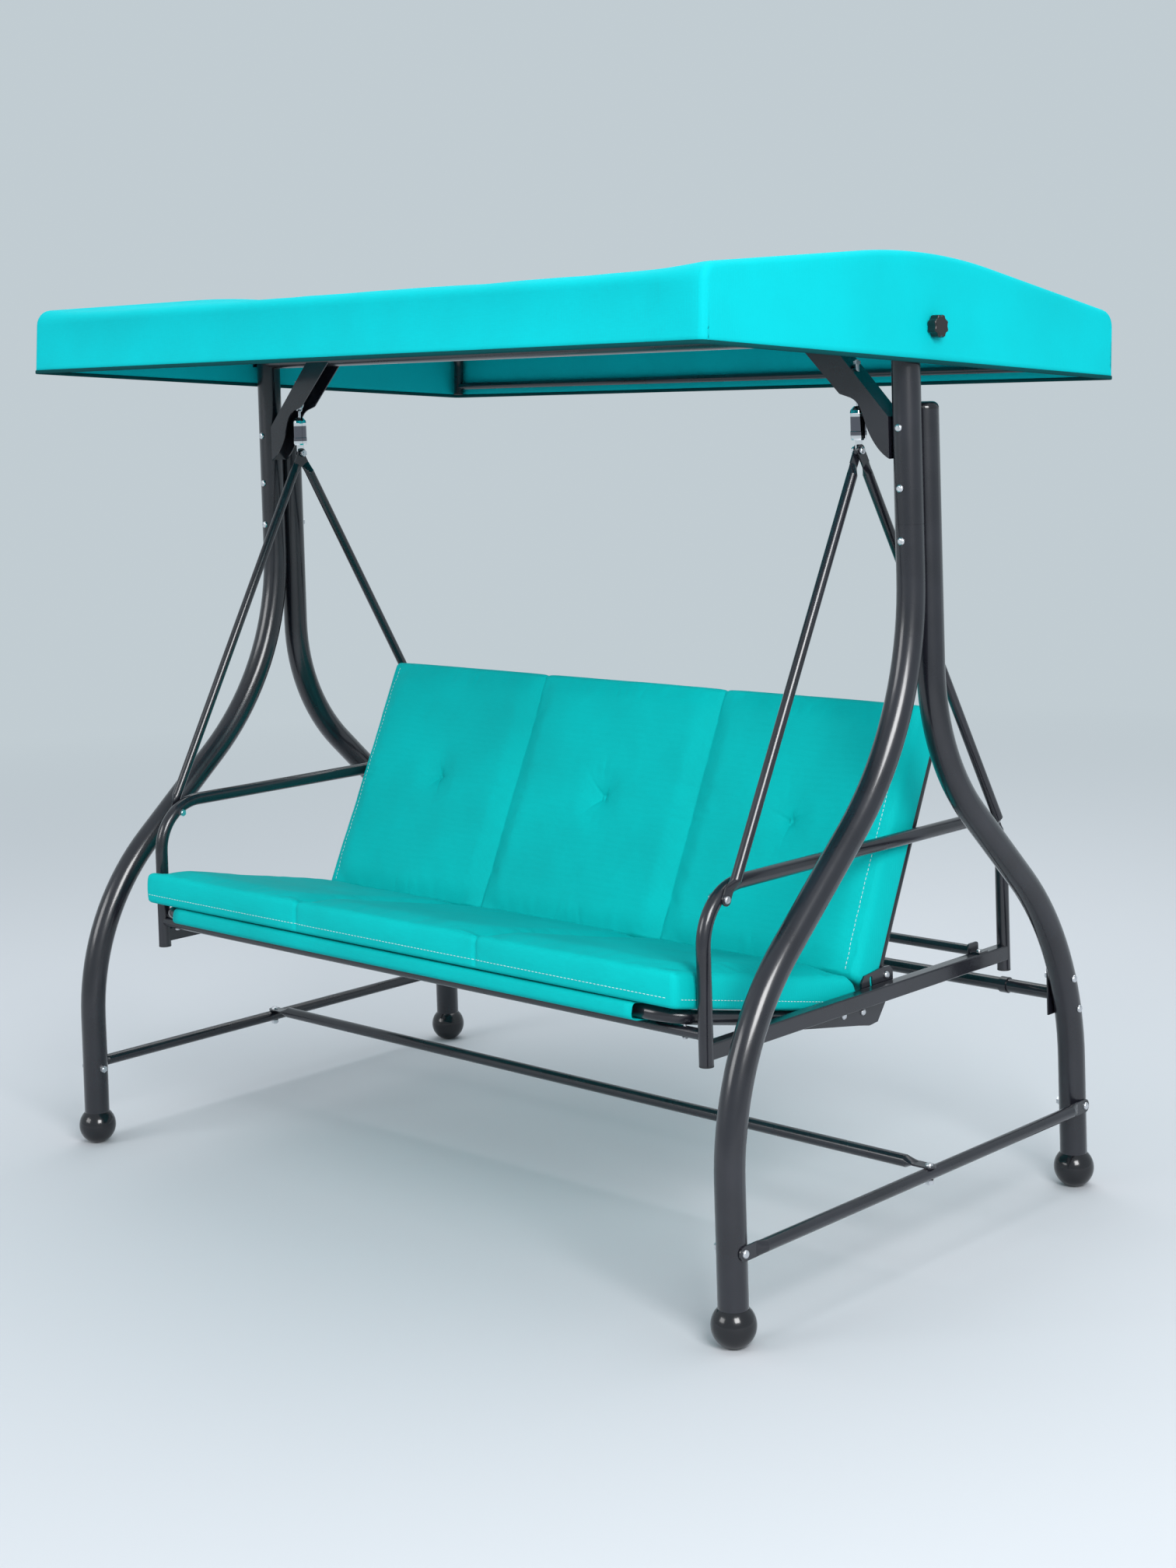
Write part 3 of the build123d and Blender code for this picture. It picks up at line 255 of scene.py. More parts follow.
TURQUOISE = (0.0, 0.46, 0.455)
MATERIALS = {
    "frame_paint": painted_steel("charcoal powder coat", (0.006, 0.0062, 0.010), (0.014, 0.0142, 0.021), 0.27),
    "bolt_steel": bare_metal("zinc plated steel", (0.72, 0.73, 0.76), 0.22, 0.2),
    "chrome": bare_metal("bright chrome", (0.86, 0.87, 0.89), 0.05, 0.08),
    "foot_gloss": moulded_plastic("glossy black plastic", (0.006, 0.006, 0.008), 0.12, 0.05),
    "plug_plastic": moulded_plastic("matt black plastic", (0.012, 0.012, 0.014), 0.45, 0.25),
    "knob_plastic": moulded_plastic("knob plastic", (0.006, 0.0045, 0.0045), 0.3, 0.15),
    "canopy_fabric": woven_fabric("canopy polyester", (0.0, 0.50, 0.545), sheen=0.03, variation=0.08),
    "cushion_fabric": woven_fabric("cushion polyester", TURQUOISE, variation=0.12),
    "button_fabric": woven_fabric("button polyester", (0.0, 0.40, 0.41)),
    "sling_fabric": woven_fabric("sling mesh", (0.0, 0.42, 0.42), thread=0.0016),
    "thread": woven_fabric("pale thread", (0.62, 0.74, 0.74), thread=0.0004),
    "dark_hem_strip": woven_fabric("dark teal hem strip", (0.0, 0.055, 0.060), thread=0.0006),
}


def barrelled_chrome(low, high):
    """Chrome spring can whose barrel, between bright end caps, is coloured a darker grey."""
    material = bare_metal("chrome can with darker barrel", (0.86, 0.87, 0.89), 0.06, 0.08)
    tree = material.node_tree
    shader = tree.nodes["Principled BSDF"]
    split = node(tree, "ShaderNodeSeparateXYZ")
    tree.links.new(object_coords(tree), split.inputs["Vector"])
    height = node(tree, "ShaderNodeMapRange")
    height.inputs["From Min"].default_value, height.inputs["From Max"].default_value = low, high
    tree.links.new(split.outputs["Z"], height.inputs["Value"])
    bands = node(tree, "ShaderNodeValToRGB")
    stops = bands.color_ramp.elements
    stops[0].position, stops[0].color = 0.40, (0.86, 0.87, 0.89, 1)
    stops[1].position, stops[1].color = 0.80, (0.86, 0.87, 0.89, 1)
    # the barrel's middle coloured dark grey in the base colour, the caps left bright
    for place, shade in ((0.42, 0.16), (0.78, 0.16)):
        stops.new(place).color = (shade, shade, shade * 1.15, 1)
    tree.links.new(height.outputs["Result"], bands.inputs["Fac"])
    tree.links.new(bands.outputs["Color"], shader.inputs["Base Color"])
    return material


def paint(thing, slot_name):
    """Gives an object one of the record's finishes."""
    thing.data.materials.clear()
    thing.data.materials.append(MATERIALS[slot_name])


SLOT_OF = {entry["node"]: entry["material_slot"] for entry in frame["record"]["subparts"]}
for name, thing in NODES.items():
    for index in range(max(1, len(thing.data.materials))):
        if index < len(thing.data.materials):
            thing.data.materials[index] = MATERIALS[SLOT_OF[name]]
        else:
            thing.data.materials.append(MATERIALS[SLOT_OF[name]])
    thing.data.shade_smooth()
    thing.data.set_sharp_from_angle(angle=radians(32))
MATERIALS["can"] = barrelled_chrome(*(corner[2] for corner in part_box("spring_can_left")))
for name in ("spring_can_left", "spring_can_right"):
    NODES[name].data.materials[0] = MATERIALS["can"]


# ============================ mesh tools ============================

def mesh_object(name, vertices, faces):
    """New mesh object from points and faces, doubles merged and normals made consistent."""
    mesh = bpy.data.meshes.new(name)
    mesh.from_pydata([tuple(v) for v in vertices], [], faces)
    work = bmesh.new()
    work.from_mesh(mesh)
    bmesh.ops.remove_doubles(work, verts=work.verts, dist=0.00005)
    bmesh.ops.recalc_face_normals(work, faces=work.faces)
    work.to_mesh(mesh)
    work.free()
    thing = bpy.data.objects.new(name, mesh)
    SCENE.collection.objects.link(thing)
    mesh.shade_smooth()
    return thing


def grid_faces(rows, columns, start=0):
    """Quads of a grid whose points were added row by row."""
    return [(start + r * columns + c, start + r * columns + c + 1, start + (r + 1) * columns + c + 1,
             start + (r + 1) * columns + c) for r in range(rows - 1) for c in range(columns - 1)]


def thicken(thing, offset):
    """Gives a sheet its cloth's thickness."""
    thickness = thing.modifiers.new("cloth thickness", "SOLIDIFY")
    thickness.thickness = CLOTH_THICK
    thickness.offset = offset
    apply_modifier(thing, thickness)


def apply_modifier(thing, modifier):
    """Applies one modifier."""
    with bpy.context.temp_override(object=thing, active_object=thing, selected_objects=[thing]):
        bpy.ops.object.modifier_apply(modifier=modifier.name)


def spread(low, high, count):
    """Evenly spaced values from low to high."""
    return [low + (high - low) * index / (count - 1) for index in range(count)]


def finished(thing, body, slot_name, *replaced, look=None):
    """Paints a piece, sets the body it rides on and hides the CAD nodes it stands for."""
    paint(thing, look or slot_name)
    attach(thing, body)
    if replaced:
        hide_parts(*replaced)
    return thing


def fillet_path(corners, radii, step):
    """Points along straights joined by tangent arcs, evenly dense."""
    path = [Vector(corners[0])]
    for before, corner, after, radius in zip(corners, corners[1:], corners[2:], radii):
        corner = Vector(corner)
        into = (corner - Vector(before)).normalized()
        out = (Vector(after) - corner).normalized()
        turn = into.angle(out)
        reach = radius * tan(turn / 2)
        start = corner - into * reach
        inward = (out - into).normalized()
        centre = corner + inward * (radius / cos(turn / 2))
        count = max(6, int(radius * turn / step))
        first = start - centre
        side = 1 if into.x * out.y - into.y * out.x > 0 else -1
        path += straight(path[-1], start, step)[1:]
        for index in range(1, count + 1):
            angle = side * turn * index / count
            path.append(centre + Vector((first.x * cos(angle) - first.y * sin(angle),
                                         first.x * sin(angle) + first.y * cos(angle))))
    path += straight(path[-1], Vector(corners[-1]), step)[1:]
    return path


def straight(start, end, step):
    """Points from start to end, about step apart."""
    count = max(1, int((end - start).length / step + 0.5))
    return [start.lerp(end, index / count) for index in range(count + 1)]


def without_repeats(path, least=0.002):
    """A closed run of points with those that fall on the one before left out."""
    kept = [path[0]]
    for point in path[1:]:
        if (point - kept[-1]).length > least:
            kept.append(point)
    return kept[:-1] if (kept[0] - kept[-1]).length < least else kept


def sweep_closed(name, path, up, profile):
    """Sweeps a small closed profile (outward, up) along a closed run of points."""
    vertices, faces, count, sides = [], [], len(path), len(profile)
    middle = sum(path, Vector()) / count
    for index, point in enumerate(path):
        tangent = (path[(index + 1) % count] - path[index - 1]).normalized()
        outward = tangent.cross(up).normalized()
        if outward.dot(point - middle) < 0:
            outward = -outward
        vertices += [point + outward * out + up * rise for out, rise in profile]
    for index in range(count):
        here, onward = index * sides, ((index + 1) % count) * sides
        faces += [(here + k, here + (k + 1) % sides, onward + (k + 1) % sides, onward + k) for k in range(sides)]
    return mesh_object(name, vertices, faces)


# ============================== springs ==============================

def make_springs():
    """Coil springs, seated on the washer of each hook rod, riding with the hooks."""
    for side in ("left", "right"):
        name = "coil_spring_" + side
        spring = bpy.data.objects.new(name + "_wire", NODES[name].data.copy())
        SCENE.collection.objects.link(spring)
        finished(spring, "hooks", SLOT_OF[name], name)
        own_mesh(spring)


make_springs()


# ============================== canopy ==============================

def canopy_point(x, s, t):
    """Canopy coordinates (along X, to the rear, up) from its middle to the frame."""
    s += CANOPY_MID
    return Vector((x, TILT_AXIS.y + s * cos(CANOPY_TILT) + t * sin(CANOPY_TILT),
                   TILT_AXIS.z - s * sin(CANOPY_TILT) + t * cos(CANOPY_TILT)))


CANOPY_UP = (canopy_point(0, 0, 1) - canopy_point(0, 0, 0)).normalized()


def roof_path(inset, step=0.012):
    """The cover's side outline from front hem over the roof to rear hem, moved inward by inset."""
    rise = tan(CANOPY_PITCH)
    half = CANOPY_HALF_DEPTH - inset
    eave = CANOPY_EAVE + inset * rise - inset / cos(CANOPY_PITCH)
    corners = ((-half, CANOPY_HEM), (-half, eave), (0, eave + half * rise), (half, eave), (half, CANOPY_HEM))
    return fillet_path(corners, (EAVE_R - inset, CANOPY_RIDGE_R - inset, EAVE_R - inset), step)


def cover_slack(x, s):
    """How far the stretched cover sinks between its end bows, and its fine ripple."""
    inboard = max(0.0, BOW_X - abs(x))
    sag = COVER_SAG * (1 - exp(-inboard / 0.09))
    ripple = 0.0022 * noise.noise(Vector((x * 5, s * 4, 3.1))) + 0.001 * noise.noise(Vector((x * 17, s * 15, 8.2)))
    return sag, ripple * min(1.0, inboard / 0.08)


def make_canopy_cover():
    """Stretched cover: one sheet over the two end bows, with a gusset at each end."""
    columns = [-CANOPY_HALF_LENGTH + COVER_ROUNDING * (1 - cos(a)) for a in spread(0, pi / 2, 6)]
    insets = [COVER_ROUNDING * (1 - sin(a)) for a in spread(0, pi / 2, 6)]
    middle = spread(-CANOPY_HALF_LENGTH + COVER_ROUNDING, CANOPY_HALF_LENGTH - COVER_ROUNDING, COVER_COLUMNS)[1:-1]
    xs = columns + middle + [-x for x in reversed(columns)]
    inset_of = insets + [0.0] * len(middle) + list(reversed(insets))
    count = len(roof_path(0.0))
    vertices, faces = [], []
    roof_low = CANOPY_EAVE * 0.5
    hem_profile = [(-0.0024, -0.0016), (0.0003, -0.0022), (0.0016, -0.0008), (0.0016, 0.0042), (0.0004, 0.0052),
                   (-0.0016, 0.0052), (-0.0028, 0.0042)]
    for x, inset in zip(xs, inset_of):
        outline = roof_path(inset)
        for point in outline:
            s, t = point
            sag, ripple = cover_slack(x, s)
            onto_roof = min(1.0, max(0.0, (t - roof_low) / 0.04))
            on_side = 1 - onto_roof
            down_side = (CANOPY_EAVE - t) / (CANOPY_EAVE - CANOPY_HEM)
            hollow = SIDE_HOLLOW * sin(pi * min(1.0, max(0.0, down_side))) * min(1.0, max(0.0, (BOW_X - abs(x)) / 0.1))
            t -= (sag + ripple) * onto_roof
            s -= (hollow + ripple * 0.8) * on_side * (1 if s > 0 else -1)
            vertices.append(canopy_point(x, s, t))
    faces += grid_faces(len(xs), count)
    # end gussets: rows from the hem up to the roof line, slightly hollow in the middle
    hem_path = [vertices[column * count] for column in range(len(xs))]
    rear_hem = [vertices[column * count + count - 1] for column in reversed(range(len(xs)))]
    for side in (1, -1):
        outline = roof_path(COVER_ROUNDING)
        low = [Vector((p.x, CANOPY_HEM)) for p in outline]
        start = len(vertices)
        for row in spread(0, 1, GUSSET_ROWS):
            for bottom, top in zip(low, outline):
                point = bottom.lerp(top, row)
                hollow = GUSSET_HOLLOW * sin(pi * row) * (1 - (point.x / CANOPY_HALF_DEPTH) ** 2)
                ripple = 0.0012 * noise.noise(Vector((point.x * 6, point.y * 9, side * 5.0))) * sin(pi * row)
                vertices.append(canopy_point(side * (CANOPY_HALF_LENGTH - hollow - ripple), point.x, point.y))
        faces += grid_faces(GUSSET_ROWS, count, start)
        across = vertices[start:start + count]
        hem_path += across + rear_hem if side > 0 else across[::-1]
    cover = mesh_object("canopy_cover_cloth", vertices, faces)
    drop_slivers(cover)
    # a thin dark teal strip swept round the cover's lower edge
    hem = sweep_closed("canopy_hem_dark_strip", without_repeats(hem_path), CANOPY_UP, hem_profile)
    finished(hem, "canopy", "canopy_fabric", look="dark_hem_strip")
    thicken(cover, -1)
    finished(cover, "canopy", "canopy_fabric", "canopy_cover")
    gusset = 2 * section_area(roof_path(0.0))
    profile = sum((after - before).length for before, after in zip(roof_path(0.0), roof_path(0.0)[1:]))
    drop = max(point.y for point in roof_path(0.0)) - CANOPY_HEM


def section_area(path):
    """Area between a run of points and the straight line that closes it."""
    return abs(sum(a.x * b.y - b.x * a.y for a, b in zip(path, path[1:] + path[:1]))) / 2


def drop_slivers(thing):
    """Removes zero-area faces, joins points that coincide and turns the faces outward."""
    work = bmesh.new()
    work.from_mesh(thing.data)
    flat = [face for face in work.faces if face.calc_area() < 1e-9]
    bmesh.ops.delete(work, geom=flat, context="FACES")
    bmesh.ops.remove_doubles(work, verts=work.verts, dist=0.00005)
    bmesh.ops.recalc_face_normals(work, faces=work.faces)
    work.to_mesh(thing.data)
    work.free()


make_canopy_cover()


# ============================== padding ==============================

def seat_point(x, u, v):
    """Seat coordinates (along X, to the rear, up from the frame) to the frame's."""
    return Vector((x, POST_PLANE_Y + SEAT_ORIGIN[0] + u * cos(SEAT_SLOPE) + v * sin(SEAT_SLOPE),
                   SEAT_ORIGIN[1] - u * sin(SEAT_SLOPE) + v * cos(SEAT_SLOPE)))


def back_point(x, t, n):
    """Backrest coordinates (along X, up the back, rearward from the cushion's front) to the frame's."""
    return Vector((x, POST_PLANE_Y + BACK_ORIGIN[0] + t * sin(BACK_LEAN) + n * cos(BACK_LEAN),
                   BACK_ORIGIN[1] + t * cos(BACK_LEAN) - n * sin(BACK_LEAN)))


def graded(low, high, step, marks):
    """Values from low to high about step apart, finer around each mark (place, reach, fine step) and one on it."""
    stops = {low, high}
    for place, reach, _ in marks:
        stops |= {place - reach, place, place + reach}
    stops = sorted(stop for stop in stops if low <= stop <= high)
    values = [stops[0]]
    for start, end in zip(stops, stops[1:]):
        centre = (start + end) / 2
        here = min([step] + [fine for place, reach, fine in marks if abs(centre - place) < reach])
        count = max(1, round((end - start) / here))
        values += [start + (end - start) * k / count for k in range(1, count + 1)]
    return values


def box_skin(name, xs, ls, hs, shape):
    """Closed skin of a box, each point put in its place by shape(x, l, h)."""
    vertices, faces = [], []

    def side(first, second, point):
        start = len(vertices)
        vertices.extend(shape(*point(one, two)) for one in first for two in second)
        faces.extend(grid_faces(len(first), len(second), start))

    for h in (hs[0], hs[-1]):
        side(xs, ls, lambda x, l: (x, l, h))
    for l in (ls[0], ls[-1]):
        side(xs, hs, lambda x, h: (x, l, h))
    for x in (xs[0], xs[-1]):
        side(ls, hs, lambda l, h: (x, l, h))
    return mesh_object(name, vertices, faces)


def inflate(thing):
    """Fills a pinned skin with air pressure, no point moving further than the cap."""
    start = [vertex.co.copy() for vertex in thing.data.vertices]
    cloth = thing.modifiers.new("fill", "CLOTH")
    settings = cloth.settings
    settings.quality = 5
    settings.mass = 0.2
    settings.tension_stiffness = settings.compression_stiffness = 14
    settings.shear_stiffness = 7
    settings.bending_stiffness = 0.35
    settings.use_pressure = True
    settings.uniform_pressure_force = FILL_PRESSURE
    settings.shrink_min = -FILL_SLACK
    settings.vertex_group_mass = "pinned"
    settings.effector_weights.gravity = 0
    cloth.point_cache.frame_start, cloth.point_cache.frame_end = 1, SIM_FRAMES
    for index in range(1, SIM_FRAMES + 1):
        SCENE.frame_set(index)
    apply_modifier(thing, cloth)
    SCENE.frame_set(1)
    for vertex, before in zip(thing.data.vertices, start):
        moved = vertex.co - before
        if moved.length > FILL_CAP:
            vertex.co = before + moved * (FILL_CAP / moved.length)


class Pad:
    """One boxed cushion in its own coordinates: x, along its length l, and h above what it rests on."""

    def __init__(self, name, body, node_name, place, half, low, high, height, tufts, crown, fill):
        self.name, self.body, self.node_name, self.place = name, body, node_name, place
        self.half, self.low, self.high, self.height = half, low, high, height
        self.tufts, self.crown, self.fill = tufts, crown, fill

    def ends(self, share):
        """Where the front and rear faces are at a share of the height."""
        return (self.low[0] + (self.high[0] - self.low[0]) * share, self.low[1] + (self.high[1] - self.low[1]) * share)

    def shape(self, x, b, c):
        """Rounded box point, crowned between seams, pulled in along seams and tufts."""
        front, rear = self.ends(c)
        l, h = front + (rear - front) * b, c * self.height
        core = Vector((min(max(x, PAD_ROUNDING - self.half), self.half - PAD_ROUNDING),
                       min(max(l, front + PAD_ROUNDING), rear - PAD_ROUNDING),
                       min(max(h, PAD_BASE_ROUNDING), self.height - PAD_ROUNDING)))
        away = Vector((x, l, h)) - core
        if away.length > 1e-6:
            tall = PAD_ROUNDING if h > self.height / 2 else PAD_BASE_ROUNDING
            scale = Vector((away.x / PAD_ROUNDING, away.y / PAD_ROUNDING, away.z / tall))
            span = max(abs(part) for part in scale)
            scale = scale.normalized() * span
            away = Vector((scale.x * PAD_ROUNDING, scale.y * PAD_ROUNDING, scale.z * tall))
        x, l, h = core + away
        seam = min(abs(x - SEAM_X), abs(x + SEAM_X))
        to_line = min(seam, self.half - abs(x))
        to_end = max(0.0, min(l - front, rear - l))
        lift = (h / self.height) ** 2
        puff = (1 - exp(-to_line / 0.035)) * (1 - exp(-(to_end + 0.01) / 0.045))
        groove = exp(-(seam / 0.0055) ** 2)
        h += lift * (self.crown * puff - 0.0055 * groove)
        mid_height = sin(pi * min(1.0, max(0.0, h / self.height)))
        belly = 0.0045 * mid_height * (1 - exp(-to_line / 0.04)) - 0.004 * groove * min(1.0, mid_height * 2)
        if b < 0.02:
            l -= belly
        elif b > 0.98:
            l += belly * 0.5
        if abs(x) > self.half - PAD_ROUNDING * 1.2:
            x += (0.003 * mid_height - 0.003 * sin(pi * b) * (0.3 + 0.7 * c)) * (1 if x > 0 else -1)
        for tuft_x, tuft_l in self.tufts:
            far = hypot(x - tuft_x, l - tuft_l)
            h -= lift * (0.015 * exp(-(far / 0.019) ** 1.3) + 0.003 * exp(-(far / 0.06) ** 2))
        return Vector((x, l, h))

    def is_pinned(self, co):
        """The underside, the edges, the seams and the centre of each tuft don't move."""
        if co.z < 0.0015:
            return True
        front, rear = self.ends(min(1.0, max(0.0, co.z / self.height)))
        if self.half - abs(co.x) < 0.011 or not front + 0.009 < co.y < rear - 0.009:
            return True
        if min(abs(co.x - SEAM_X), abs(co.x + SEAM_X)) < 0.0012:
            return True
        return any(hypot(co.x - x, co.y - l) < 0.008 and co.z > self.height / 2 for x, l in self.tufts)

    def crease(self, x, l):
        """Depth of the star of folds around each tuft."""
        depth = 0.0
        for index, (tuft_x, tuft_l) in enumerate(self.tufts):
            far = hypot(x - tuft_x, l - tuft_l)
            if 0.004 < far < 0.09:
                angle = atan2(l - tuft_l, x - tuft_x)
                for fold in range(6):
                    turn = angle - (fold * pi / 3 + 0.35 * sin(fold * 2.4 + index * 1.7) + 0.2 * index)
                    if cos(turn) > 0:
                        length = 0.024 + 0.010 * sin(fold * 3.1 + index)
                        depth += 0.0034 * exp(-(far * sin(turn) / 0.0030) ** 2) * exp(-(far / length) ** 1.6)
        return depth

    def build(self):
        """Makes the cushion: skin, filling, folds, and its place on the object."""
        marks = [(side * SEAM_X, 0.009, 0.003) for side in (1, -1)]
        marks += [(side * self.half, 0.014, 0.0035) for side in (-1, 1)]
        marks += [(x, 0.042, 0.0046) for x, _ in self.tufts]
        length = self.low[1] - self.low[0]
        rows = [(0, 0.014 / length, 0.0035 / length), (1, 0.014 / length, 0.0035 / length)]
        rows += [((self.tufts[0][1] - self.low[0]) / length, 0.042 / length, 0.0046 / length)] if self.tufts else []
        layers = [(0, 0.2, 0.06), (1, 0.2, 0.06)]
        thing = box_skin(self.name, graded(-self.half, self.half, PAD_STEP, marks),
                         graded(0, 1, PAD_STEP / length, rows),
                         graded(0, 1, 0.13, layers), self.shape)
        pinned = thing.vertex_groups.new(name="pinned")
        pinned.add([v.index for v in thing.data.vertices if self.is_pinned(v.co)], 1.0, "REPLACE")
        inflate(thing)
        for vertex in thing.data.vertices:
            x, l, h = vertex.co
            front, rear = self.ends(min(1.0, max(0.0, h / self.height)))
            vertex.co = (min(max(x, -self.half - 0.007), self.half + 0.007), min(max(l, front - 0.009), rear + 0.002),
                         min(max(h, 0.0), self.height + 0.012))
        thing.vertex_groups.clear()
        finer = thing.modifiers.new("finer", "SUBSURF")
        finer.levels = finer.render_levels = 1
        apply_modifier(thing, finer)
        for vertex in thing.data.vertices:
            x, l, h = vertex.co
            if h > self.height * 0.45:
                lumps = (0.0016 * noise.noise(Vector((x * 9, l * 9, 4.0)))
                         + 0.0007 * noise.noise(Vector((x * 26, l * 26, 9.0))))
                h += lumps - self.crease(x, l)
            vertex.co = self.place(x, l, h)
        thing.data.update()
        finished(thing, self.body, "cushion_fabric", self.node_name)
        return thing


seat_cushion = Pad("seat_cushion_pad", "seat", "seat_cushion", lambda x, l, h: seat_point(x, l, h + SEAT_FLOOR),
                   CUSHION_HALF, (-0.029, 0.480), (-0.040, 0.443), SEAT_TOP - SEAT_FLOOR - 0.003, [], 0.007,
                   0.6).build()
back_cushion = Pad("back_cushion_pad", "backrest", "back_cushion", lambda x, l, h: back_point(x, l, BACK_THICK - h),
                   CUSHION_HALF, (-0.018, BACK_LENGTH + 0.004), (-0.005, BACK_LENGTH + 0.004), BACK_THICK - 0.004,
                   [(x, BUTTON_T) for x in BUTTONS_X], 0.010, 0.6).build()


def lathe(name, profile, sides, places):
    """Small turned pieces: a profile (radius, height) turned round, once at each place given as a function."""
    vertices, faces = [], []
    for put in places:
        start = len(vertices)
        for radius, height in profile:
            vertices += [put(radius * cos(2 * pi * k / sides), radius * sin(2 * pi * k / sides), height)
                         for k in range(sides)]
        for ring in range(len(profile) - 1):
            low, high = start + ring * sides, start + (ring + 1) * sides
            faces += [(low + k, low + (k + 1) % sides, high + (k + 1) % sides, high + k) for k in range(sides)]
        faces.append(tuple(range(start, start + sides)))
    return mesh_object(name, vertices, faces)


def make_buttons():
    """Covered buttons pulled down into the back cushion."""
    base = BACK_THICK - 0.004 - BUTTON_SINK
    profile = [(0.0080, base), (0.0084, base + 0.0012)]
    profile += [(0.0082 * cos(a), base + 0.0016 + 0.0042 * sin(a)) for a in spread(0.1, pi / 2 - 0.04, 7)]
    places = [lambda x, l, h, across=across: back_point(across + x, BUTTON_T + l, BACK_THICK - h)
              for across in BUTTONS_X]
    buttons = lathe("back_button_caps", profile, 20, places)
    finished(buttons, "backrest", "button_fabric", "back_buttons")


make_buttons()


# ============================== slings ==============================

def sheet_along(name, path, half_width, step, place, waist):
    """Stretched sheet: a side path (along, up) spread across, its free edges drawn in by waist in mid span."""
    lengths = [0.0]
    for before, after in zip(path, path[1:]):
        lengths.append(lengths[-1] + (Vector(after) - Vector(before)).length)
    columns = int(2 * half_width / step)
    vertices = []
    for share in spread(-1, 1, columns + 1):
        for (along, up), length in zip(path, lengths):
            middle = sin(pi * length / lengths[-1])
            x = share * (half_width - waist * middle ** 1.5)
            vertices.append(place(x, along, up - SLING_SAG * middle ** 2 * (1 - share ** 4)))
    thing = mesh_object(name, vertices, grid_faces(columns + 1, len(path)))
    thicken(thing, 0)
    return thing, lengths[-1]


def half_turn(centre, radius, start, turn, count=14):
    """Points of a half circle around a tube."""
    return [(centre[0] + radius * cos(a), centre[1] + radius * sin(a)) for a in spread(start, start + turn, count)]


def make_seat_sling():
    """Sling stretched over the seat frame, folded round its front and rear tubes."""
    flap, lift = SLING_FLAP, SEAT_SLING_LIFT
    path = [(flap, -lift), (flap * 0.5, -lift), (0.008, -lift - 0.001)]
    path += [(-0.008 - 0.0205 * abs(cos(a)) ** 0.6, 0.0150 * sin(a) * abs(sin(a)) ** -0.4 - 0.0012)
             for a in spread(-pi / 2 - 0.1, -3 * pi / 2 + 0.5, 16)]
    path += [(u, lift) for u in spread(0, SEAT_FRAME_DEPTH, 44)][2:-1]
    path += half_turn((SEAT_FRAME_DEPTH, 0), lift, pi / 2, -pi)
    path += [(SEAT_FRAME_DEPTH - flap * 0.5, -lift), (SEAT_FRAME_DEPTH - flap, -lift)]
    sling, length = sheet_along("seat_sling_cloth", path, SLING_HALF_WIDTH, 0.02, seat_point, 0.004)
    finished(sling, "seat", "sling_fabric", "seat_sling")


def make_back_sling():
    """Sling stretched behind the back cushion."""
    low, high = BACK_SLING_RANGE
    path = [(t, 0) for t in spread(low, high, 40)]
    sling, length = sheet_along("back_sling_cloth", path, SLING_HALF_WIDTH, 0.02,
                                lambda x, t, h: back_point(x, t, BACK_SLING_DEPTH - h), 0.0)
    finished(sling, "backrest", "sling_fabric", "back_sling")


make_seat_sling()
make_back_sling()


# ============================= stitching =============================

def surface_of(thing):
    """Ray-castable copy of a finished mesh."""
    mesh = thing.data
    return BVHTree.FromPolygons([v.co.copy() for v in mesh.vertices], [tuple(p.vertices) for p in mesh.polygons])


def stitches(name, body, slot_name, runs):
    """Rows of thread dashes: each run is (surface, points to look from, direction to look in)."""
    vertices, faces, sides = [], [], 6
    for surface, points, look in runs:
        found = []
        for point in points:
            place, normal, _, _ = surface.ray_cast(point, look)
            if place is not None:
                found.append((place, normal if normal.dot(look) < 0 else -normal))
        travelled, due = 0.0, 0.0
        for (here, normal), (after, _) in zip(found, found[1:]):
            gap = (after - here).length
            while gap > 1e-7 and due <= travelled + gap:
                middle = here.lerp(after, (due - travelled) / gap) + normal * STITCH_R * 0.5
                along = (after - here).normalized()
                across = along.cross(normal).normalized()
                start = len(vertices)
                for share, swell in ((-0.5, 0.15), (-0.4, 0.8), (0.0, 1.0), (0.4, 0.8), (0.5, 0.15)):
                    centre = middle + along * (share * STITCH_LENGTH)
                    vertices += [centre + (across * cos(2 * pi * k / sides) + normal * sin(2 * pi * k / sides) * 0.8)
                                 * (STITCH_R * swell) for k in range(sides)]
                for ring in range(4):
                    low, high = start + ring * sides, start + (ring + 1) * sides
                    faces += [(low + k, low + (k + 1) % sides, high + (k + 1) % sides, high + k) for k in range(sides)]
                faces += [tuple(range(start, start + sides)), tuple(range(start + 4 * sides, start + 5 * sides))]
                due += STITCH_PITCH
            travelled += gap
    finished(mesh_object(name, vertices, faces), body, slot_name, look="thread")


seat_skin, back_skin = surface_of(seat_cushion), surface_of(back_cushion)
SEAT_IN = (seat_point(0, 1, 0) - seat_point(0, 0, 0)).normalized()
BACK_IN = (back_point(0, 0, 1) - back_point(0, 0, 0)).normalized()
seat_runs = [(seat_skin, [seat_point(x, -0.1, SEAT_STITCH_V) for x in spread(-0.695, 0.695, 300)], SEAT_IN)]
seat_runs += [(seat_skin, [seat_point(side * 0.76, u, SEAT_STITCH_V) for u in spread(-0.015, 0.450, 110)],
               Vector((-side, 0, 0))) for side in (-1, 1)]
stitches("seat_stitching", "seat", "cushion_fabric", seat_runs)
back_runs = [(back_skin, [back_point(side * 0.686, t, -0.1) for t in spread(0.012, 0.492, 110)], BACK_IN)
             for side in (-1, 1)]
stitches("back_stitching", "backrest", "cushion_fabric", back_runs)

# ============================== camera ==============================

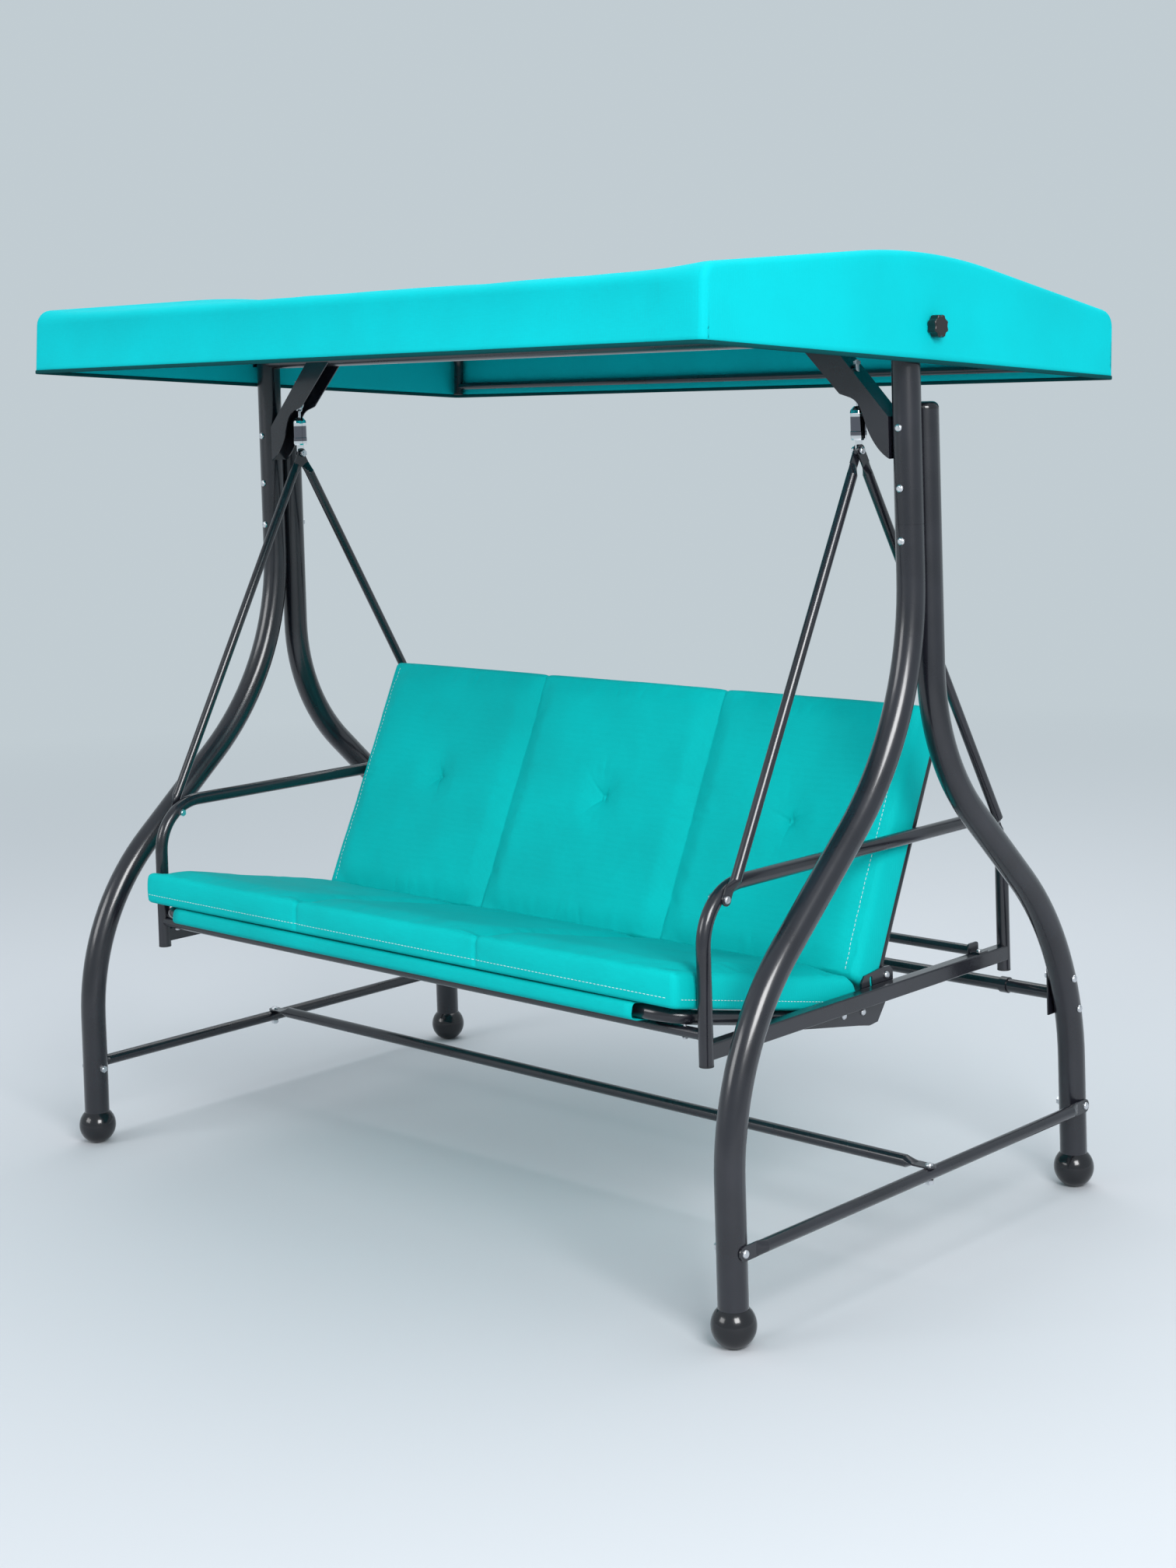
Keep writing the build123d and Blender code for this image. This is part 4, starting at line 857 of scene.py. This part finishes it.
def make_camera():
    """Camera at the photograph's viewpoint: standing at the front right, eye level, slightly rolled."""
    data = bpy.data.cameras.new("camera")
    camera = bpy.data.objects.new("camera", data)
    SCENE.collection.objects.link(camera)
    azimuth, down, roll = radians(43.44), radians(2.52), radians(-1.74)
    camera.location = (3.3076, -3.4159 + POST_PLANE_Y, 1.5157)
    camera.rotation_euler = (Matrix.Rotation(azimuth, 3, "Z") @ Matrix.Rotation(pi / 2 - down, 3, "X")
                             @ Matrix.Rotation(roll, 3, "Z")).to_euler()
    data.sensor_width = 36.0
    data.lens = 55.98
    data.shift_y = -0.18497
    data.clip_end = 200
    SCENE.camera = camera


make_camera()

# ========================== floor and light ==========================

BACKGROUND = (0.535, 0.605, 0.645)


def make_floor():
    """Large pale floor that fades into the background colour far away."""
    vertices = [(0, 0, 0)]
    rings, spokes = spread(1, 60, 12), 64
    for radius in rings:
        vertices += [(radius * cos(2 * pi * k / spokes), radius * sin(2 * pi * k / spokes), 0) for k in range(spokes)]
    faces = [(0, 1 + k, 1 + (k + 1) % spokes) for k in range(spokes)]
    for ring in range(len(rings) - 1):
        inner, outer = 1 + ring * spokes, 1 + (ring + 1) * spokes
        faces += [(inner + k, outer + k, outer + (k + 1) % spokes, inner + (k + 1) % spokes) for k in range(spokes)]
    floor = mesh_object("floor", vertices, faces)
    material, tree, shader = new_material("pale floor")
    shader.inputs["Base Color"].default_value = (0.56, 0.575, 0.605, 1)
    shader.inputs["Roughness"].default_value = 0.8
    glow = node(tree, "ShaderNodeEmission", Strength=1.0)
    glow.inputs["Color"].default_value = (*BACKGROUND, 1)
    far = node(tree, "ShaderNodeVectorMath", operation="LENGTH")
    tree.links.new(object_coords(tree, scale=1 / 7.0), far.inputs[0])
    fade = ramp(tree, far.outputs["Value"], 0.25, 0.95, (0, 0, 0), (1, 1, 1))
    mix = node(tree, "ShaderNodeMixShader")
    tree.links.new(fade, mix.inputs["Fac"])
    tree.links.new(shader.outputs["BSDF"], mix.inputs[1])
    tree.links.new(glow.outputs["Emission"], mix.inputs[2])
    tree.links.new(mix.outputs["Shader"], tree.nodes["Material Output"].inputs["Surface"])
    floor.data.materials.append(material)


make_floor()


def make_world():
    """Even pale grey-blue surroundings."""
    world = bpy.data.worlds.new("studio")
    world.use_nodes = True
    world.node_tree.nodes["Background"].inputs["Color"].default_value = (*BACKGROUND, 1)
    world.node_tree.nodes["Background"].inputs["Strength"].default_value = 1.0
    SCENE.world = world


def make_light(name, place, target, size, power):
    """Soft rectangular light aimed at a point."""
    data = bpy.data.lights.new(name, "AREA")
    data.shape = "RECTANGLE"
    data.size, data.size_y = size
    data.energy = power
    lamp = bpy.data.objects.new(name, data)
    SCENE.collection.objects.link(lamp)
    lamp.location = place
    lamp.rotation_euler = (Vector(target) - Vector(place)).to_track_quat("-Z", "Y").to_euler()


make_world()
make_light("key", (4.5, -2.5, 3.4), (0, 0, 0.9), (2.2, 2.2), 240)
make_light("front fill", (-2.5, -6.5, 3.6), (0, 0, 0.9), (3.5, 2.5), 145)
make_light("overhead", (-0.5, 1.5, 5.5), (0, 0.6, 0), (5.0, 5.0), 170)
SCENE.view_settings.view_transform = "Standard"
